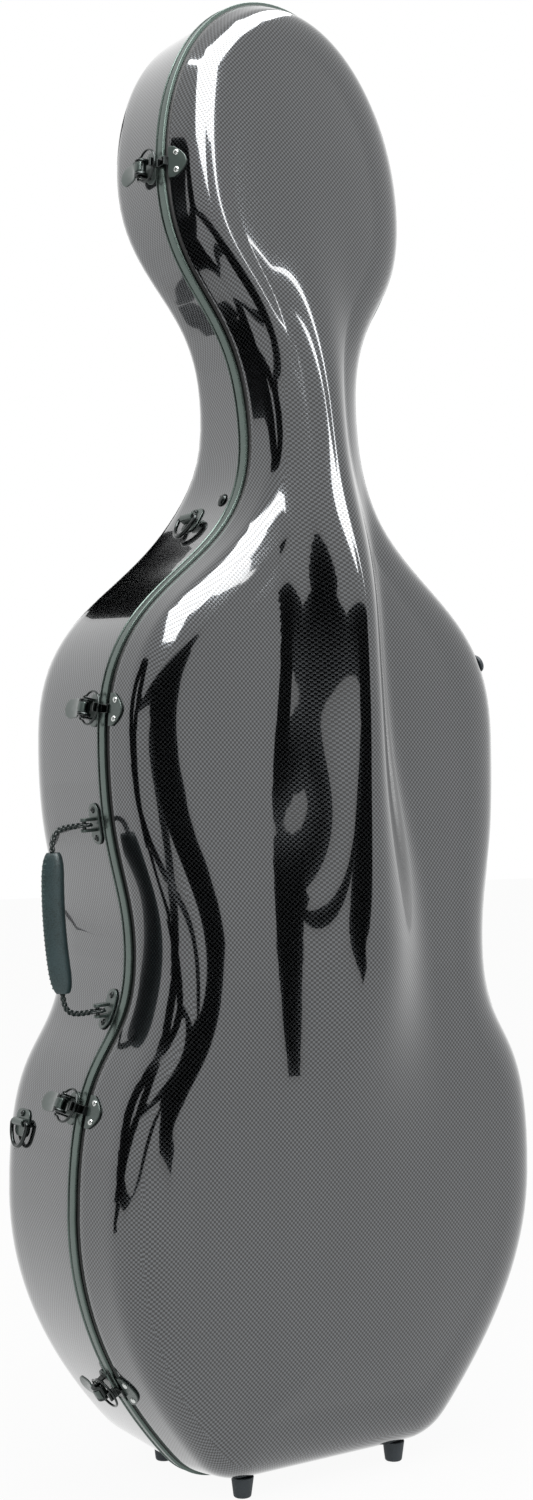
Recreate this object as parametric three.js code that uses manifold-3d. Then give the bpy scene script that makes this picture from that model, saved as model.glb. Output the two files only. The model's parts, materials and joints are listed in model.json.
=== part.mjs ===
// Hard case for a cello: two carbon shells, hinged on the right side and latched on the left.
// Millimetres. The case stands on its feet with Z up, the lid faces -Y and the back shell is at +Y.
import * as THREE from "three";
import { mergeVertices } from "three/addons/utils/BufferGeometryUtils.js";
import Module from "manifold-3d";

const wasm = await Module();
wasm.setup();

// Running gap between pieces that seat on each other, and the overrun of cuts
const gap = 0.3;
const overrun = 4;
const weldDistance = 0.001;

// Sides of round pieces, and steps of their curves
const roundSides = 12;
const footSides = 18;
const boreSides = 8;
const wireSides = 6;
const cornerCurveSteps = 3;
const gripSides = 12;
const bailSteps = 8;
const eyeSteps = 12;
const linkSteps = 6;
const ringSteps = 10;

// Outline of the case at the seam: half widths, and their heights above the floor
const baseHeight = 15;
const baseHalfWidth = 95;
const baseCornerRadius = 60;
const baseCornerTurn = 48;
const lowerBoutHalf = 241;
const lowerBoutHeight = 264;
const waistHalf = 183;
const waistHeight = 487;
const upperBoutHalf = 212;
const upperBoutHeight = 686;
const neckHalf = 56;
const neckHeight = 961;
const headHalf = 132;
const headHeight = 1195;
const apexHeight = 1380;

// How each stretch of the outline leaves its lower end and meets its upper end, as shares of its height
const flankShares = [0.31, 0.44];
const lowerWaistShares = [0.75, 0.43];
const upperWaistShares = [0.35, 0.6];
const shoulderShares = [0.5, 0.5];
const throatShares = [0.52, 0.67];

// The neck and head lean back from the plane of the body
const bendStartHeight = 850;
const bendEndHeight = 970;
const headLeanAngle = 5.6;

// Depth of the lid's face from the seam at the heights of the outline
const lidBaseDepth = 66;
const lidLowerDepth = 82;
const lidWaistDepth = 82;
const lidUpperDepth = 52;
const lidNeckDepth = 46;
const lidHeadDepth = 34;
const lidApexDepth = 30;

// Depth of the back shell's face from the seam
const backBaseDepth = 156;
const backLowerDepth = 165;
const backWaistDepth = 168;
const backUpperDepth = 160;
const backNeckDepth = 92;
const backHeadDepth = 114;
const backApexDepth = 104;

// Ridge over the bridge, on the lid: how far it stands above the face, and its half width
const ridgeFootHeight = 290;
const ridgeWaistRise = 34;
const ridgeUpperRise = 56;
const ridgeShoulderHeight = 800;
const ridgeShoulderRise = 50;
const ridgeNeckRise = 10;
const ridgeFootHalf = 120;
const ridgeWaistHalf = 92;
const ridgeShoulderHalf = 60;
const ridgeNeckHalf = 46;

// Walls of the shells: draft of the side walls, and the width of the round between side and face
const lidBodyDraft = 7;
const lidHeadDraft = 27;
const backDraft = 3;
const lidBodyRound = 60;
const lidNeckRound = 36;
const lidHeadRound = 50;
const backBodyRound = 50;
const backNeckRound = 36;
const lidWallShare = 0.52;
const backWallShare = 0.76;
const crownRise = 6;
const spineFootHeight = 140;
const slopeStep = 5;

// Rows of the shells: steps round the edge, and places from the round to the middle line
const roundShares = [0, 0.33, 0.66, 1];
const lidFaceShares = [0.68, 0.44, 0.22, 0];
const backFaceShares = [0.5, 0];

// Points of the half outline on each stretch
const baseSteps = 1;
const cornerSteps = 2;
const flankSteps = 4;
const waistSteps = 4;
const shoulderSteps = 6;
const throatSteps = 4;
const headSteps = 6;

// Shells, linings and the rim
const shellWall = 2.5;
const liningWall = 4;
const liningGap = 0.5;
const railWidth = 12.5;
const railWall = 2;
const railWeb = 1.5;
const beadRise = 0.9;
const beadWidth = 2;
const gasketHeight = 3.2;
const gasketWidth = 2.6;
const lidRimWidth = 9;
const lidRimWall = 2;

// Draw latches: heights on the left side, and the sizes of one latch
const latchHeights = { head: 1205, upper: 706, lower: 356, base: 107 };
const plateWall = 1.8;
const latchPlateWidth = 19;
const latchPlateHeight = 30;
const latchPivotBack = 25;
const latchPivotRise = 10;
const drumRadius = 7.2;
const drumLength = 15;
const latchPinRadius = 1.4;
const latchPinClearance = 0.3;
const bailPinOffset = 4.5;
const bailWireRadius = 1.1;
const earRadius = 2.9;
const earWall = 1.6;
const bailHalfHeight = 15;
const hookSeat = 4.5;
const hookWall = 2.4;
const hookRise = 3.4;
const tongueHalfHeight = 4;
const tongueWall = 1.6;
const catchWidth = 15;
const catchHalfHeight = 15;
const tabHalfHeight = 9;
const tabReach = 33;
const tabWall = 2;
const tabDrop = 6.5;
const tabRootShare = 0.55;
const bailShoulderShare = 0.75;
const bailOpeningAngle = 50;

// Hinges: heights on the right side, and the sizes of one hinge
const hingeHeights = { upper: 700, lower: 250 };
const hingeHalfHeight = 24;
const hingeLeafWidth = 22;
const hingeSlack = 1.2;
const knuckleRadius = 4;
const knuckleGap = 0.4;
const hingePinRadius = 1.5;
const hingeLeafCorner = 4;

// Carrying handle on the left side
const handleUpperHeight = 607;
const handleLowerHeight = 436;
const anchorBack = 29;
const anchorHalfHeight = 19;
const anchorHalfWidth = 9;
const handleBarRadius = 2;
const linkCordRadius = 3;
const lugRadius = 4;
const lugWall = 3;
const handleAxisRise = 12;
const gripReach = 40;
const gripLength = 124;
const gripHalfWidth = 13;
const gripHalfThickness = 10;
const gripBow = 4;
const linkReachShare = 0.75;
const gripShares = [[-1, 0], [-1, 0.5], [-0.96, 0.74], [-0.84, 0.96], [-0.55, 1], [-0.18, 1]];

// Rings for shoulder straps, on both sides of the back shell
const strapHeights = { upper: 889, lower: 332 };
const strapDepthShare = 0.68;
const strapPlateHalfWidth = 13;
const strapPlateHeight = 26;
const strapBarRadius = 2;
const strapBarRise = 6;
const strapLugWall = 3;
const ringHalfWidth = 15;
const ringDrop = 22;
const ringWireRadius = 1.9;

// Feet under the case, side feet and the rivets of the neck strap
const footSpread = 87;
const lidFootDepth = 31;
const backFootDepth = 99;
const footTopRadius = 10.5;
const footBottomRadius = 8;
const footEdge = 2;
const sideFootHeights = { upper: 757, lower: 312 };
const sideFootLidShare = 0.5;
const sideFootBackShare = 0.4;
const sideFootRadius = 9;
const sideFootRise = 6;
const rivetHeight = 904;
const rivetDepth = 30;
const rivetRadius = 6.5;
const rivetRise = 3.4;
const rivetBrimShare = 0.3;
const rivetDomeShare = 0.8;

// Soft pieces that hold the instrument
const cradleHalfHeight = 45;
const cradleFront = 18;
const cradleGrooveHalf = 24;
const cradleGrooveFloor = 52;
const strapBandWidth = 30;
const strapBandWall = 2.4;
const strapBandRise = 15;
const strapBandShares = [[-1, 0], [-0.62, 0], [-0.5, 0.35], [-0.2, 0.93]];
const padThickness = 22;
const padLength = 110;
const padDepth = 70;
const padBack = 85;
const upperPadHeight = 745;
const lowerPadHeight = 150;
const endPadHeight = 40;
const endPadHalfWidth = 75;
const endPadHoleRadius = 15;

const carbon = { color: 0x5c5e60, roughness: 0.22, metalness: 0.25 };
const railMetal = { color: 0x5f6f68, roughness: 0.35, metalness: 0.8 };
const latchMetal = { color: 0x4c5b55, roughness: 0.3, metalness: 0.85 };
const wireMetal = { color: 0x2a302e, roughness: 0.25, metalness: 0.9 };
const rubber = { color: 0x23282c, roughness: 0.75, metalness: 0 };
const leather = { color: 0x1f3a36, roughness: 0.6, metalness: 0 };
const velour = { color: 0x30343a, roughness: 0.95, metalness: 0 };

const radians = THREE.MathUtils.degToRad;
const back = 1;
const lid = -1;

// Outline

function sway(fromHalf, fromHeight, toHalf, toHeight, shares) {
  const rise = toHeight - fromHeight;
  return new THREE.CubicBezierCurve(
    new THREE.Vector2(fromHalf, fromHeight),
    new THREE.Vector2(fromHalf, fromHeight + rise * shares[0]),
    new THREE.Vector2(toHalf, toHeight - rise * shares[1]),
    new THREE.Vector2(toHalf, toHeight),
  );
}

function flankCurve(start, direction) {
  const rise = lowerBoutHeight - start.y;
  const first = start.clone().addScaledVector(direction, rise * flankShares[0]);
  const second = new THREE.Vector2(lowerBoutHalf, lowerBoutHeight - rise * flankShares[1]);
  return new THREE.CubicBezierCurve(start, first, second, new THREE.Vector2(lowerBoutHalf, lowerBoutHeight));
}

// Points of the right half, from the middle of the base up to the apex
function halfOutline() {
  const turn = radians(baseCornerTurn);
  const direction = new THREE.Vector2(Math.cos(turn), Math.sin(turn));
  const cornerTop = baseHeight + baseCornerRadius;
  const corner = new THREE.ArcCurve(
    baseHalfWidth, cornerTop, baseCornerRadius, -Math.PI / 2, turn - Math.PI / 2, false,
  );
  const middle = new THREE.Vector2(0, baseHeight);
  const crown = new THREE.EllipseCurve(0, headHeight, headHalf, apexHeight - headHeight, 0, Math.PI / 2, false);
  const stretches = [
    [new THREE.LineCurve(middle, new THREE.Vector2(baseHalfWidth, baseHeight)), baseSteps],
    [corner, cornerSteps],
    [flankCurve(corner.getPoint(1), direction), flankSteps],
    [sway(lowerBoutHalf, lowerBoutHeight, waistHalf, waistHeight, lowerWaistShares), waistSteps],
    [sway(waistHalf, waistHeight, upperBoutHalf, upperBoutHeight, upperWaistShares), waistSteps],
    [sway(upperBoutHalf, upperBoutHeight, neckHalf, neckHeight, shoulderShares), shoulderSteps],
    [sway(neckHalf, neckHeight, headHalf, headHeight, throatShares), throatSteps],
    [crown, headSteps],
  ];
  const points = [middle];
  for (const [curve, steps] of stretches) points.push(...curve.getPoints(steps).slice(1));
  points[points.length - 1].x = 0;
  return points;
}

// The whole outline, up the right side and down the left, each point with its outward normal
function closedOutline(half) {
  const left = half.slice(1, -1).reverse().map((p) => new THREE.Vector2(-p.x, p.y));
  const points = [...half, ...left];
  return points.map((p, i) => {
    const next = points[(i + 1) % points.length];
    const previous = points[(i + points.length - 1) % points.length];
    const along = next.clone().sub(previous).normalize();
    const onMiddle = p.x === 0;
    return { x: p.x, z: p.y, nx: onMiddle ? 0 : along.y, nz: onMiddle ? -Math.sign(along.x) : -along.x };
  });
}

const half = halfOutline();
const outline = closedOutline(half);

// The point of the outline at a height: side 1 is the right side and -1 the left
function outlineAt(height, side) {
  const i = half.findIndex((p, k) => k > 0 && p.y >= height);
  const [low, high] = [outline[i - 1], outline[i]];
  const t = (height - low.z) / (high.z - low.z);
  const normal = new THREE.Vector2(high.x - low.x, high.z - low.z).normalize();
  return { x: side * (low.x + t * (high.x - low.x)), z: height, nx: side * normal.y, nz: -normal.x };
}

// Value at a height between stations, each [height, value], eased so that it is level at each
function alongHeight(height, stations) {
  const i = stations.findIndex((s) => s[0] > height);
  if (i === 0) return stations[0][1];
  if (i < 0) return stations[stations.length - 1][1];
  const [low, high] = [stations[i - 1], stations[i]];
  return THREE.MathUtils.lerp(low[1], high[1], THREE.MathUtils.smoothstep(height, low[0], high[0]));
}

const lidFace = (z) => alongHeight(z, [
  [baseHeight, lidBaseDepth], [lowerBoutHeight, lidLowerDepth], [waistHeight, lidWaistDepth],
  [upperBoutHeight, lidUpperDepth], [neckHeight, lidNeckDepth], [headHeight, lidHeadDepth],
  [apexHeight, lidApexDepth],
]);
const backFace = (z) => alongHeight(z, [
  [baseHeight, backBaseDepth], [lowerBoutHeight, backLowerDepth], [waistHeight, backWaistDepth],
  [upperBoutHeight, backUpperDepth], [neckHeight, backNeckDepth], [headHeight, backHeadDepth],
  [apexHeight, backApexDepth],
]);
const ridgeRise = (z) => alongHeight(z, [
  [ridgeFootHeight, 0], [waistHeight, ridgeWaistRise], [upperBoutHeight, ridgeUpperRise],
  [ridgeShoulderHeight, ridgeShoulderRise], [neckHeight, ridgeNeckRise], [headHeight, 0],
]);
const ridgeHalf = (z) => alongHeight(z, [
  [ridgeFootHeight, ridgeFootHalf], [waistHeight, ridgeWaistHalf],
  [ridgeShoulderHeight, ridgeShoulderHalf], [neckHeight, ridgeNeckHalf],
]);
const lidDraft = (z) => alongHeight(z, [
  [ridgeShoulderHeight, lidBodyDraft], [headHeight, lidHeadDraft],
]);
const lidRound = (z) => alongHeight(z, [
  [upperBoutHeight, lidBodyRound], [neckHeight, lidNeckRound], [headHeight, lidHeadRound],
]);
const backRound = (z) => alongHeight(z, [
  [upperBoutHeight, backBodyRound], [neckHeight, backNeckRound], [headHeight, backBodyRound],
]);

// How far the seam lies behind the plane of the body at a height
function lean(z) {
  const slope = Math.tan(radians(headLeanAngle));
  const length = bendEndHeight - bendStartHeight;
  const t = THREE.MathUtils.clamp((z - bendStartHeight) / length, 0, 1);
  return slope * (t * t * length / 2 + Math.max(z - bendEndHeight, 0));
}

function place(side, x, depth, z) {
  return new THREE.Vector3(x, lean(z) + side * depth, z);
}

function ridgeOf(side, x, z) {
  if (side === back) return 0;
  const reach = Math.min(Math.abs(x) / ridgeHalf(z), 1);
  return ridgeRise(z) * (1 + Math.cos(Math.PI * reach)) / 2;
}

// Depth of the wall of a side before its round begins, and its lean inwards there
const faceOf = (side, z) => (side === back ? backFace(z) : lidFace(z));
const draftOf = (side, z) => Math.tan(radians(side === back ? backDraft : lidDraft(z)));
const wallShareOf = (side) => (side === back ? backWallShare : lidWallShare);

// Points of the outside of a shell, in rows from the edge at the seam to the middle line
function outsideRows(side, edge) {
  const roundOf = side === back ? backRound : lidRound;
  const share = wallShareOf(side);
  const rows = [outline.map((p) => insetPoint(side, p, edge * draftOf(side, p.z), edge))];
  for (const t of roundShares) {
    const reach = 1 - (1 - t) ** 2;
    rows.push(outline.map((p) => {
      const slant = faceOf(side, p.z) * draftOf(side, p.z);
      const inset = (1 - t) ** 2 * share * slant + 2 * t * (1 - t) * slant + t * t * roundOf(p.z);
      const [x, z] = [p.x - p.nx * inset, p.z - p.nz * inset];
      const depth = ((1 - t) ** 2 * share + reach) * faceOf(side, z);
      return place(side, x, depth + reach * ridgeOf(side, x, z), z);
    }));
  }
  const rim = rows[rows.length - 1];
  for (const s of side === back ? backFaceShares : lidFaceShares) {
    rows.push(rim.map((p) => {
      const [x, z] = [p.x * s, THREE.MathUtils.lerp(spineHeight(p.z), p.z, s)];
      return place(side, x, faceOf(side, z) + crownRise * (1 - s * s) + ridgeOf(side, x, z), z);
    }));
  }
  return rows;
}

function insetPoint(side, p, inset, depth) {
  return place(side, p.x - p.nx * inset, depth, p.z - p.nz * inset);
}

// A point of a side wall at a depth, moved in square to the wall
function edgePoint(side, p, offset, depth) {
  const draft = draftOf(side, p.z);
  return insetPoint(side, p, offset * Math.hypot(1, draft) + depth * draft, depth);
}

// Outward normal on the middle line, which depends on the height alone
function spineNormal(side, z) {
  const at = (h) => place(side, 0, faceOf(side, h) + ridgeOf(side, 0, h), h).y;
  const slope = (at(z + slopeStep) - at(z - slopeStep)) / (2 * slopeStep);
  return new THREE.Vector3(0, side, -side * slope).normalize();
}

// The rows of a skin that lies a distance inside the outside of a shell, measured square to it
function skinRows(side, offset, edge) {
  const rows = outsideRows(side, edge);
  const count = outline.length;
  return rows.map((row, r) => row.map((p, i) => {
    if (r === 0) return edgePoint(side, outline[i], offset, edge);
    if (r === rows.length - 1) return p.clone().addScaledVector(spineNormal(side, p.z), -offset);
    const across = rows[r + 1][i].clone().sub(rows[r - 1][i]);
    const along = row[(i + 1) % count].clone().sub(row[(i + count - 1) % count]);
    const normal = across.cross(along).multiplyScalar(side).normalize();
    if (p.x === 0) normal.setX(0).normalize();
    return p.clone().addScaledVector(normal, -offset);
  }));
}

function spineHeight(z) {
  return THREE.MathUtils.clamp(z, spineFootHeight, headHeight);
}

// Solids

// Triangles between rows of points. As many of the first bands as are turned are split the other way.
function geometryOf(rows, tube, turned) {
  const count = rows[0].length;
  const positions = rows.flatMap((row) => row.flatMap((p) => [p.x, p.y, p.z]));
  const index = [];
  const bands = tube ? rows.length : rows.length - 1;
  for (let r = 0; r < bands; r++) {
    for (let i = 0; i < count; i++) {
      const [a, b] = [r * count + i, r * count + ((i + 1) % count)];
      const above = ((r + 1) % rows.length) * count;
      const [c, d] = [above + i, above + ((i + 1) % count)];
      index.push(...(r < turned ? [a, b, c, b, d, c] : [a, b, d, a, d, c]));
    }
  }
  const geometry = new THREE.BufferGeometry();
  geometry.setAttribute("position", new THREE.Float32BufferAttribute(positions, 3));
  geometry.setIndex(index);
  return geometry;
}

// A closed solid from a geometry, with triangles that shrank to a line left out and the faces turned outwards
function solidOf(geometry) {
  const bare = new THREE.BufferGeometry().setAttribute("position", geometry.getAttribute("position"));
  if (geometry.index) bare.setIndex(geometry.index);
  const merged = mergeVertices(bare, weldDistance);
  const kept = [];
  const all = merged.index.array;
  for (let i = 0; i < all.length; i += 3) {
    const [a, b, c] = [all[i], all[i + 1], all[i + 2]];
    if (a !== b && b !== c && c !== a) kept.push(a, b, c);
  }
  const build = (triangles) => new wasm.Manifold(new wasm.Mesh({
    numProp: 3, vertProperties: merged.attributes.position.array, triVerts: new Uint32Array(triangles),
  }));
  const solid = build(kept);
  return solid.volume() > 0 ? solid : build(kept.reverse());
}

const loft = (rows, tube = false, turned = 0) => solidOf(geometryOf(rows, tube, turned));

function join(solids) {
  return solids.reduce((all, next) => all.add(next));
}

function box(low, high) {
  const size = high.map((v, i) => v - low[i]);
  const geometry = new THREE.BoxGeometry(...size);
  return solidOf(geometry.translate(...high.map((v, i) => (v + low[i]) / 2)));
}

// A round bar between two points
function bar(from, to, radius, sides = roundSides) {
  const along = to.clone().sub(from);
  const geometry = new THREE.CylinderGeometry(radius, radius, along.length(), sides);
  const up = new THREE.Vector3(0, 1, 0);
  geometry.applyQuaternion(new THREE.Quaternion().setFromUnitVectors(up, along.clone().normalize()));
  return solidOf(geometry.translate(...from.clone().add(to).divideScalar(2).toArray()));
}

// A plan shape in the Y-Z plane, raised from one X to another
function prism(shape, fromX, toX) {
  const geometry = new THREE.ExtrudeGeometry(shape, {
    depth: toX - fromX, bevelEnabled: false, curveSegments: cornerCurveSteps,
  });
  geometry.rotateX(Math.PI / 2);
  geometry.rotateZ(Math.PI / 2);
  return solidOf(geometry.translate(fromX, 0, 0));
}

// A wire along points that lie in one plane, either a closed ring or with flat ends
function wire(points, planeNormal, radius, closed) {
  const count = points.length;
  const rows = points.map((p, i) => {
    const next = points[closed ? (i + 1) % count : Math.min(i + 1, count - 1)];
    const previous = points[closed ? (i + count - 1) % count : Math.max(i - 1, 0)];
    const across = next.clone().sub(previous).cross(planeNormal).normalize();
    return Array.from({ length: wireSides }, (_, k) => {
      const angle = (2 * Math.PI * k) / wireSides;
      return p.clone().addScaledVector(across, radius * Math.cos(angle))
        .addScaledVector(planeNormal, radius * Math.sin(angle));
    });
  });
  if (closed) return loft(rows, true);
  const cap = (row, p) => row.map(() => p.clone());
  return loft([cap(rows[0], points[0]), ...rows, cap(rows[count - 1], points[count - 1])]);
}

// The space inside a skin up to the seam, as a solid. A negative offset gives more than the shell's outside.
function bulk(side, offset) {
  const rows = skinRows(side, offset, 0);
  const cap = outline.map((p) => place(side, 0, 0, spineHeight(p.z)));
  return loft([cap, ...rows]);
}

// A shell between two offsets, open at the seam, with both skins split alike so that shells nest
function shell(side, outer, inner, edge) {
  const outsides = skinRows(side, outer, edge);
  const insides = skinRows(side, inner, edge);
  return loft([...outsides.reverse(), ...insides], false, outsides.length - 1);
}

// A closed profile carried round the outline, each corner [offset inwards, depth]
function ring(side, corners) {
  return loft(corners.map(([offset, depth]) => outline.map((p) => edgePoint(side, p, offset, depth))), true);
}

const lidEdge = gap + gasketHeight + gap;
const backEdge = railWeb + gap;
const liningOffset = shellWall + liningGap;
const roomOffset = liningOffset + liningWall + gap;
const outside = { [back]: bulk(back, -gap), [lid]: bulk(lid, -gap) };
const layer = {
  [back]: bulk(back, -gap - plateWall).subtract(outside[back]),
  [lid]: bulk(lid, -gap - plateWall).subtract(outside[lid]),
};
const room = bulk(back, roomOffset);

// The scene graph

const model = new THREE.Group();

function piece(parent, name, solid, look) {
  const made = solid.getMesh();
  const geometry = new THREE.BufferGeometry();
  geometry.setAttribute("position", new THREE.Float32BufferAttribute(made.vertProperties, made.numProp));
  geometry.setIndex(new THREE.Uint32BufferAttribute(made.triVerts, 1));
  const mesh = new THREE.Mesh(geometry, new THREE.MeshStandardMaterial(look));
  mesh.name = name;
  parent.add(mesh);
}

function groupAt(origin, xAxis, yAxis, zAxis) {
  const group = new THREE.Group();
  group.applyMatrix4(new THREE.Matrix4().makeBasis(xAxis, yAxis, zAxis).setPosition(origin));
  model.add(group);
  return group;
}

function leanSlope(z) {
  const t = THREE.MathUtils.clamp((z - bendStartHeight) / (bendEndHeight - bendStartHeight), 0, 1);
  return Math.tan(radians(headLeanAngle)) * t;
}

// A group on the outside of a shell: X points out of the case, Y back, and Z runs along the outline
function groupOnShell(side, height, shellSide, depth) {
  const p = outlineAt(height, side);
  const inset = depth * draftOf(shellSide, height);
  const tilt = depth === 0 ? 0 : Math.atan(draftOf(shellSide, height));
  const out = new THREE.Vector3(p.nx * Math.cos(tilt), shellSide * Math.sin(tilt), p.nz * Math.cos(tilt));
  const along = new THREE.Vector3(-p.nz, leanSlope(height) * p.nx, p.nx).normalize();
  const rear = along.clone().cross(out).normalize();
  const origin = place(shellSide, p.x - p.nx * inset, depth, p.z - p.nz * inset);
  return groupAt(origin, out, rear, out.clone().cross(rear));
}

// A solid of the model in the frame of a group
function inGroup(solid, group) {
  return solid.transform(group.matrix.clone().invert().elements);
}

// A plate of even thickness that lies on a shell, cut to a plan shape in the group's Y-Z plane
function plate(group, shellSide, shape) {
  const reach = bailHalfHeight + overrun;
  return prism(shape, -reach, reach).intersect(inGroup(layer[shellSide], group));
}

// What is left of a solid outside a shell
function seated(group, shellSide, solid) {
  return solid.subtract(inGroup(outside[shellSide], group));
}

function roundedShape(lowY, highY, lowZ, highZ, radius) {
  const shape = new THREE.Shape();
  const r = Math.min(radius, (highY - lowY) / 2, (highZ - lowZ) / 2);
  shape.moveTo(lowY + r, lowZ);
  shape.lineTo(highY - r, lowZ);
  shape.quadraticCurveTo(highY, lowZ, highY, lowZ + r);
  shape.lineTo(highY, highZ - r);
  shape.quadraticCurveTo(highY, highZ, highY - r, highZ);
  shape.lineTo(lowY + r, highZ);
  shape.quadraticCurveTo(lowY, highZ, lowY, highZ - r);
  shape.lineTo(lowY, lowZ + r);
  shape.quadraticCurveTo(lowY, lowZ, lowY + r, lowZ);
  return shape;
}

// Shells, linings and the rim

const railSection = [
  [-gap - railWall, 0],
  [-gap - railWall, railWidth - 2 * beadWidth],
  [-gap - railWall - beadRise, railWidth - beadWidth],
  [-gap - railWall - beadRise, railWidth],
  [-gap, railWidth],
  [-gap, railWeb],
  [liningOffset + liningWall, railWeb],
  [liningOffset + liningWall, 0],
];
const gasketSection = [
  [0, gap], [0, gap + gasketHeight], [gasketWidth, gap + gasketHeight], [gasketWidth, gap],
];
const lidRimSection = [
  [liningOffset, lidEdge], [liningOffset, lidEdge + lidRimWidth],
  [liningOffset + lidRimWall, lidEdge + lidRimWidth], [liningOffset + lidRimWall, lidEdge],
];
piece(model, "back_shell", shell(back, 0, shellWall, backEdge), carbon);
piece(model, "lid_shell", shell(lid, 0, shellWall, lidEdge), carbon);
piece(model, "back_lining", shell(back, liningOffset, liningOffset + liningWall, backEdge), velour);
piece(model, "lid_lining",
  shell(lid, liningOffset, liningOffset + liningWall, lidEdge + lidRimWidth + gap), velour);
piece(model, "back_rim_profile", ring(back, railSection), railMetal);
piece(model, "rim_gasket", ring(lid, gasketSection), rubber);
piece(model, "lid_rim_profile", ring(lid, lidRimSection), railMetal);

// Draw latches

const latchStart = railWidth + 2 * gap;
const railTop = gap + railWall + beadRise;
const bailBack = latchPivotBack + bailPinOffset;
const bailSag = (1 - Math.sqrt(1 - (tongueHalfHeight / bailHalfHeight) ** 2)) * bailBack / 2;
const bailBow = hookSeat - 2 * gap - bailWireRadius - bailSag;

function latchBase(group) {
  const shape = roundedShape(latchStart, latchStart + latchPlateWidth, -latchPlateHeight / 2,
    latchPlateHeight / 2, latchPlateWidth / 2);
  const ears = [-1, 1].flatMap((end) => {
    const near = end * (drumLength / 2 + gap);
    const far = near + end * earWall;
    return [
      box([-overrun, latchPivotBack - earRadius, Math.min(near, far)],
        [latchPivotRise, latchPivotBack + earRadius, Math.max(near, far)]),
      bar(new THREE.Vector3(latchPivotRise, latchPivotBack, near),
        new THREE.Vector3(latchPivotRise, latchPivotBack, far), earRadius),
    ];
  });
  const pinEnd = drumLength / 2 + gap + earWall / 2;
  const pin = bar(new THREE.Vector3(latchPivotRise, latchPivotBack, -pinEnd),
    new THREE.Vector3(latchPivotRise, latchPivotBack, pinEnd), latchPinRadius, boreSides);
  return seated(group, back, join([plate(group, back, shape), ...ears, pin]));
}

function latchLever() {
  const [x, y] = [latchPivotRise, latchPivotBack];
  const at = (dx, dy, z) => new THREE.Vector3(x + dx, y + dy, z);
  const drum = bar(at(0, 0, -drumLength / 2), at(0, 0, drumLength / 2), drumRadius, footSides);
  const side = new THREE.Shape([
    new THREE.Vector2(x + drumRadius, y),
    new THREE.Vector2(x + drumRadius - tabDrop / 2, y + tabReach / 3),
    new THREE.Vector2(x + drumRadius - tabDrop, y + tabReach),
    new THREE.Vector2(x + drumRadius - tabDrop - tabWall, y + tabReach),
    new THREE.Vector2(x + drumRadius - tabDrop / 2 - tabWall, y + tabReach / 3),
    new THREE.Vector2(x + tabRootShare * drumRadius, y),
  ]);
  const extruded = new THREE.ExtrudeGeometry(side, { depth: 2 * tabHalfHeight, bevelEnabled: false });
  const strip = solidOf(extruded.translate(0, 0, -tabHalfHeight));
  const plan = roundedShape(y - drumRadius, y + tabReach, -tabHalfHeight, tabHalfHeight, tabHalfHeight);
  const tab = strip.intersect(prism(plan, -overrun, x + drumRadius + overrun));
  const reach = drumLength / 2 + overrun;
  const pinBore = bar(at(0, 0, -reach), at(0, 0, reach), latchPinRadius + latchPinClearance, boreSides);
  const bailBore = bar(at(0, bailPinOffset, -reach), at(0, bailPinOffset, reach),
    bailWireRadius + latchPinClearance, boreSides);
  return join([drum, tab]).subtract(pinBore).subtract(bailBore);
}

function latchBail() {
  const normal = new THREE.Vector3(1, 0, 0);
  const middle = (bailBow + bailBack) / 2;
  const reach = (bailBack - bailBow) / 2;
  const shoulder = bailShoulderShare * bailHalfHeight;
  const points = [-1, 1].map((end) => new THREE.Vector3(latchPivotRise, bailBack, end * shoulder));
  const start = radians(bailOpeningAngle);
  for (let i = 0; i <= bailSteps; i++) {
    const angle = start + ((2 * Math.PI - 2 * start) * i) / bailSteps;
    const [y, z] = [middle + reach * Math.cos(angle), bailHalfHeight * Math.sin(angle)];
    points.push(new THREE.Vector3(latchPivotRise, y, z));
  }
  return wire(points, normal, bailWireRadius, true);
}

function latchCatch(group) {
  const start = -lidEdge - gap;
  const end = start - catchWidth;
  const shape = new THREE.Shape();
  shape.moveTo(start, -catchHalfHeight);
  shape.lineTo(start, catchHalfHeight);
  shape.lineTo(start - catchWidth / 3, catchHalfHeight);
  shape.quadraticCurveTo(2 * end - start, 0, start - catchWidth / 3, -catchHalfHeight);
  const riser = box([-2 * overrun, start - tongueWall, -tongueHalfHeight],
    [railTop + gap + tongueWall, start, tongueHalfHeight]);
  const tongue = box([railTop + gap, start - tongueWall, -tongueHalfHeight],
    [railTop + gap + tongueWall, hookSeat + hookWall, tongueHalfHeight]);
  const hook = box([railTop + gap, hookSeat, -tongueHalfHeight],
    [latchPivotRise + hookRise, hookSeat + hookWall, tongueHalfHeight]);
  return seated(group, lid, join([plate(group, lid, shape), riser])).add(join([tongue, hook]));
}

for (const [name, height] of Object.entries(latchHeights)) {
  const group = groupOnShell(-1, height, back, 0);
  piece(group, `latch_base_${name}`, latchBase(group), latchMetal);
  piece(group, `latch_lever_${name}`, latchLever(), latchMetal);
  piece(group, `latch_bail_${name}`, latchBail(), wireMetal);
  piece(group, `latch_catch_${name}`, latchCatch(group), latchMetal);
}

// Hinges, on one straight line that touches both bouts

const hingeAxisOut = railTop + gap + hingeSlack + knuckleRadius;
const hingeAxisFront = gap + gasketHeight / 2;

function hingeGroup(height) {
  const run = new THREE.Vector3(upperBoutHalf - lowerBoutHalf, 0, upperBoutHeight - lowerBoutHeight);
  const share = (height - lowerBoutHeight) / run.z;
  const axis = run.clone().normalize();
  const rear = new THREE.Vector3(0, 1, 0);
  const origin = new THREE.Vector3(lowerBoutHalf + hingeAxisOut + share * run.x, -hingeAxisFront, height);
  return groupAt(origin, rear.clone().cross(axis), rear, axis);
}

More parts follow.
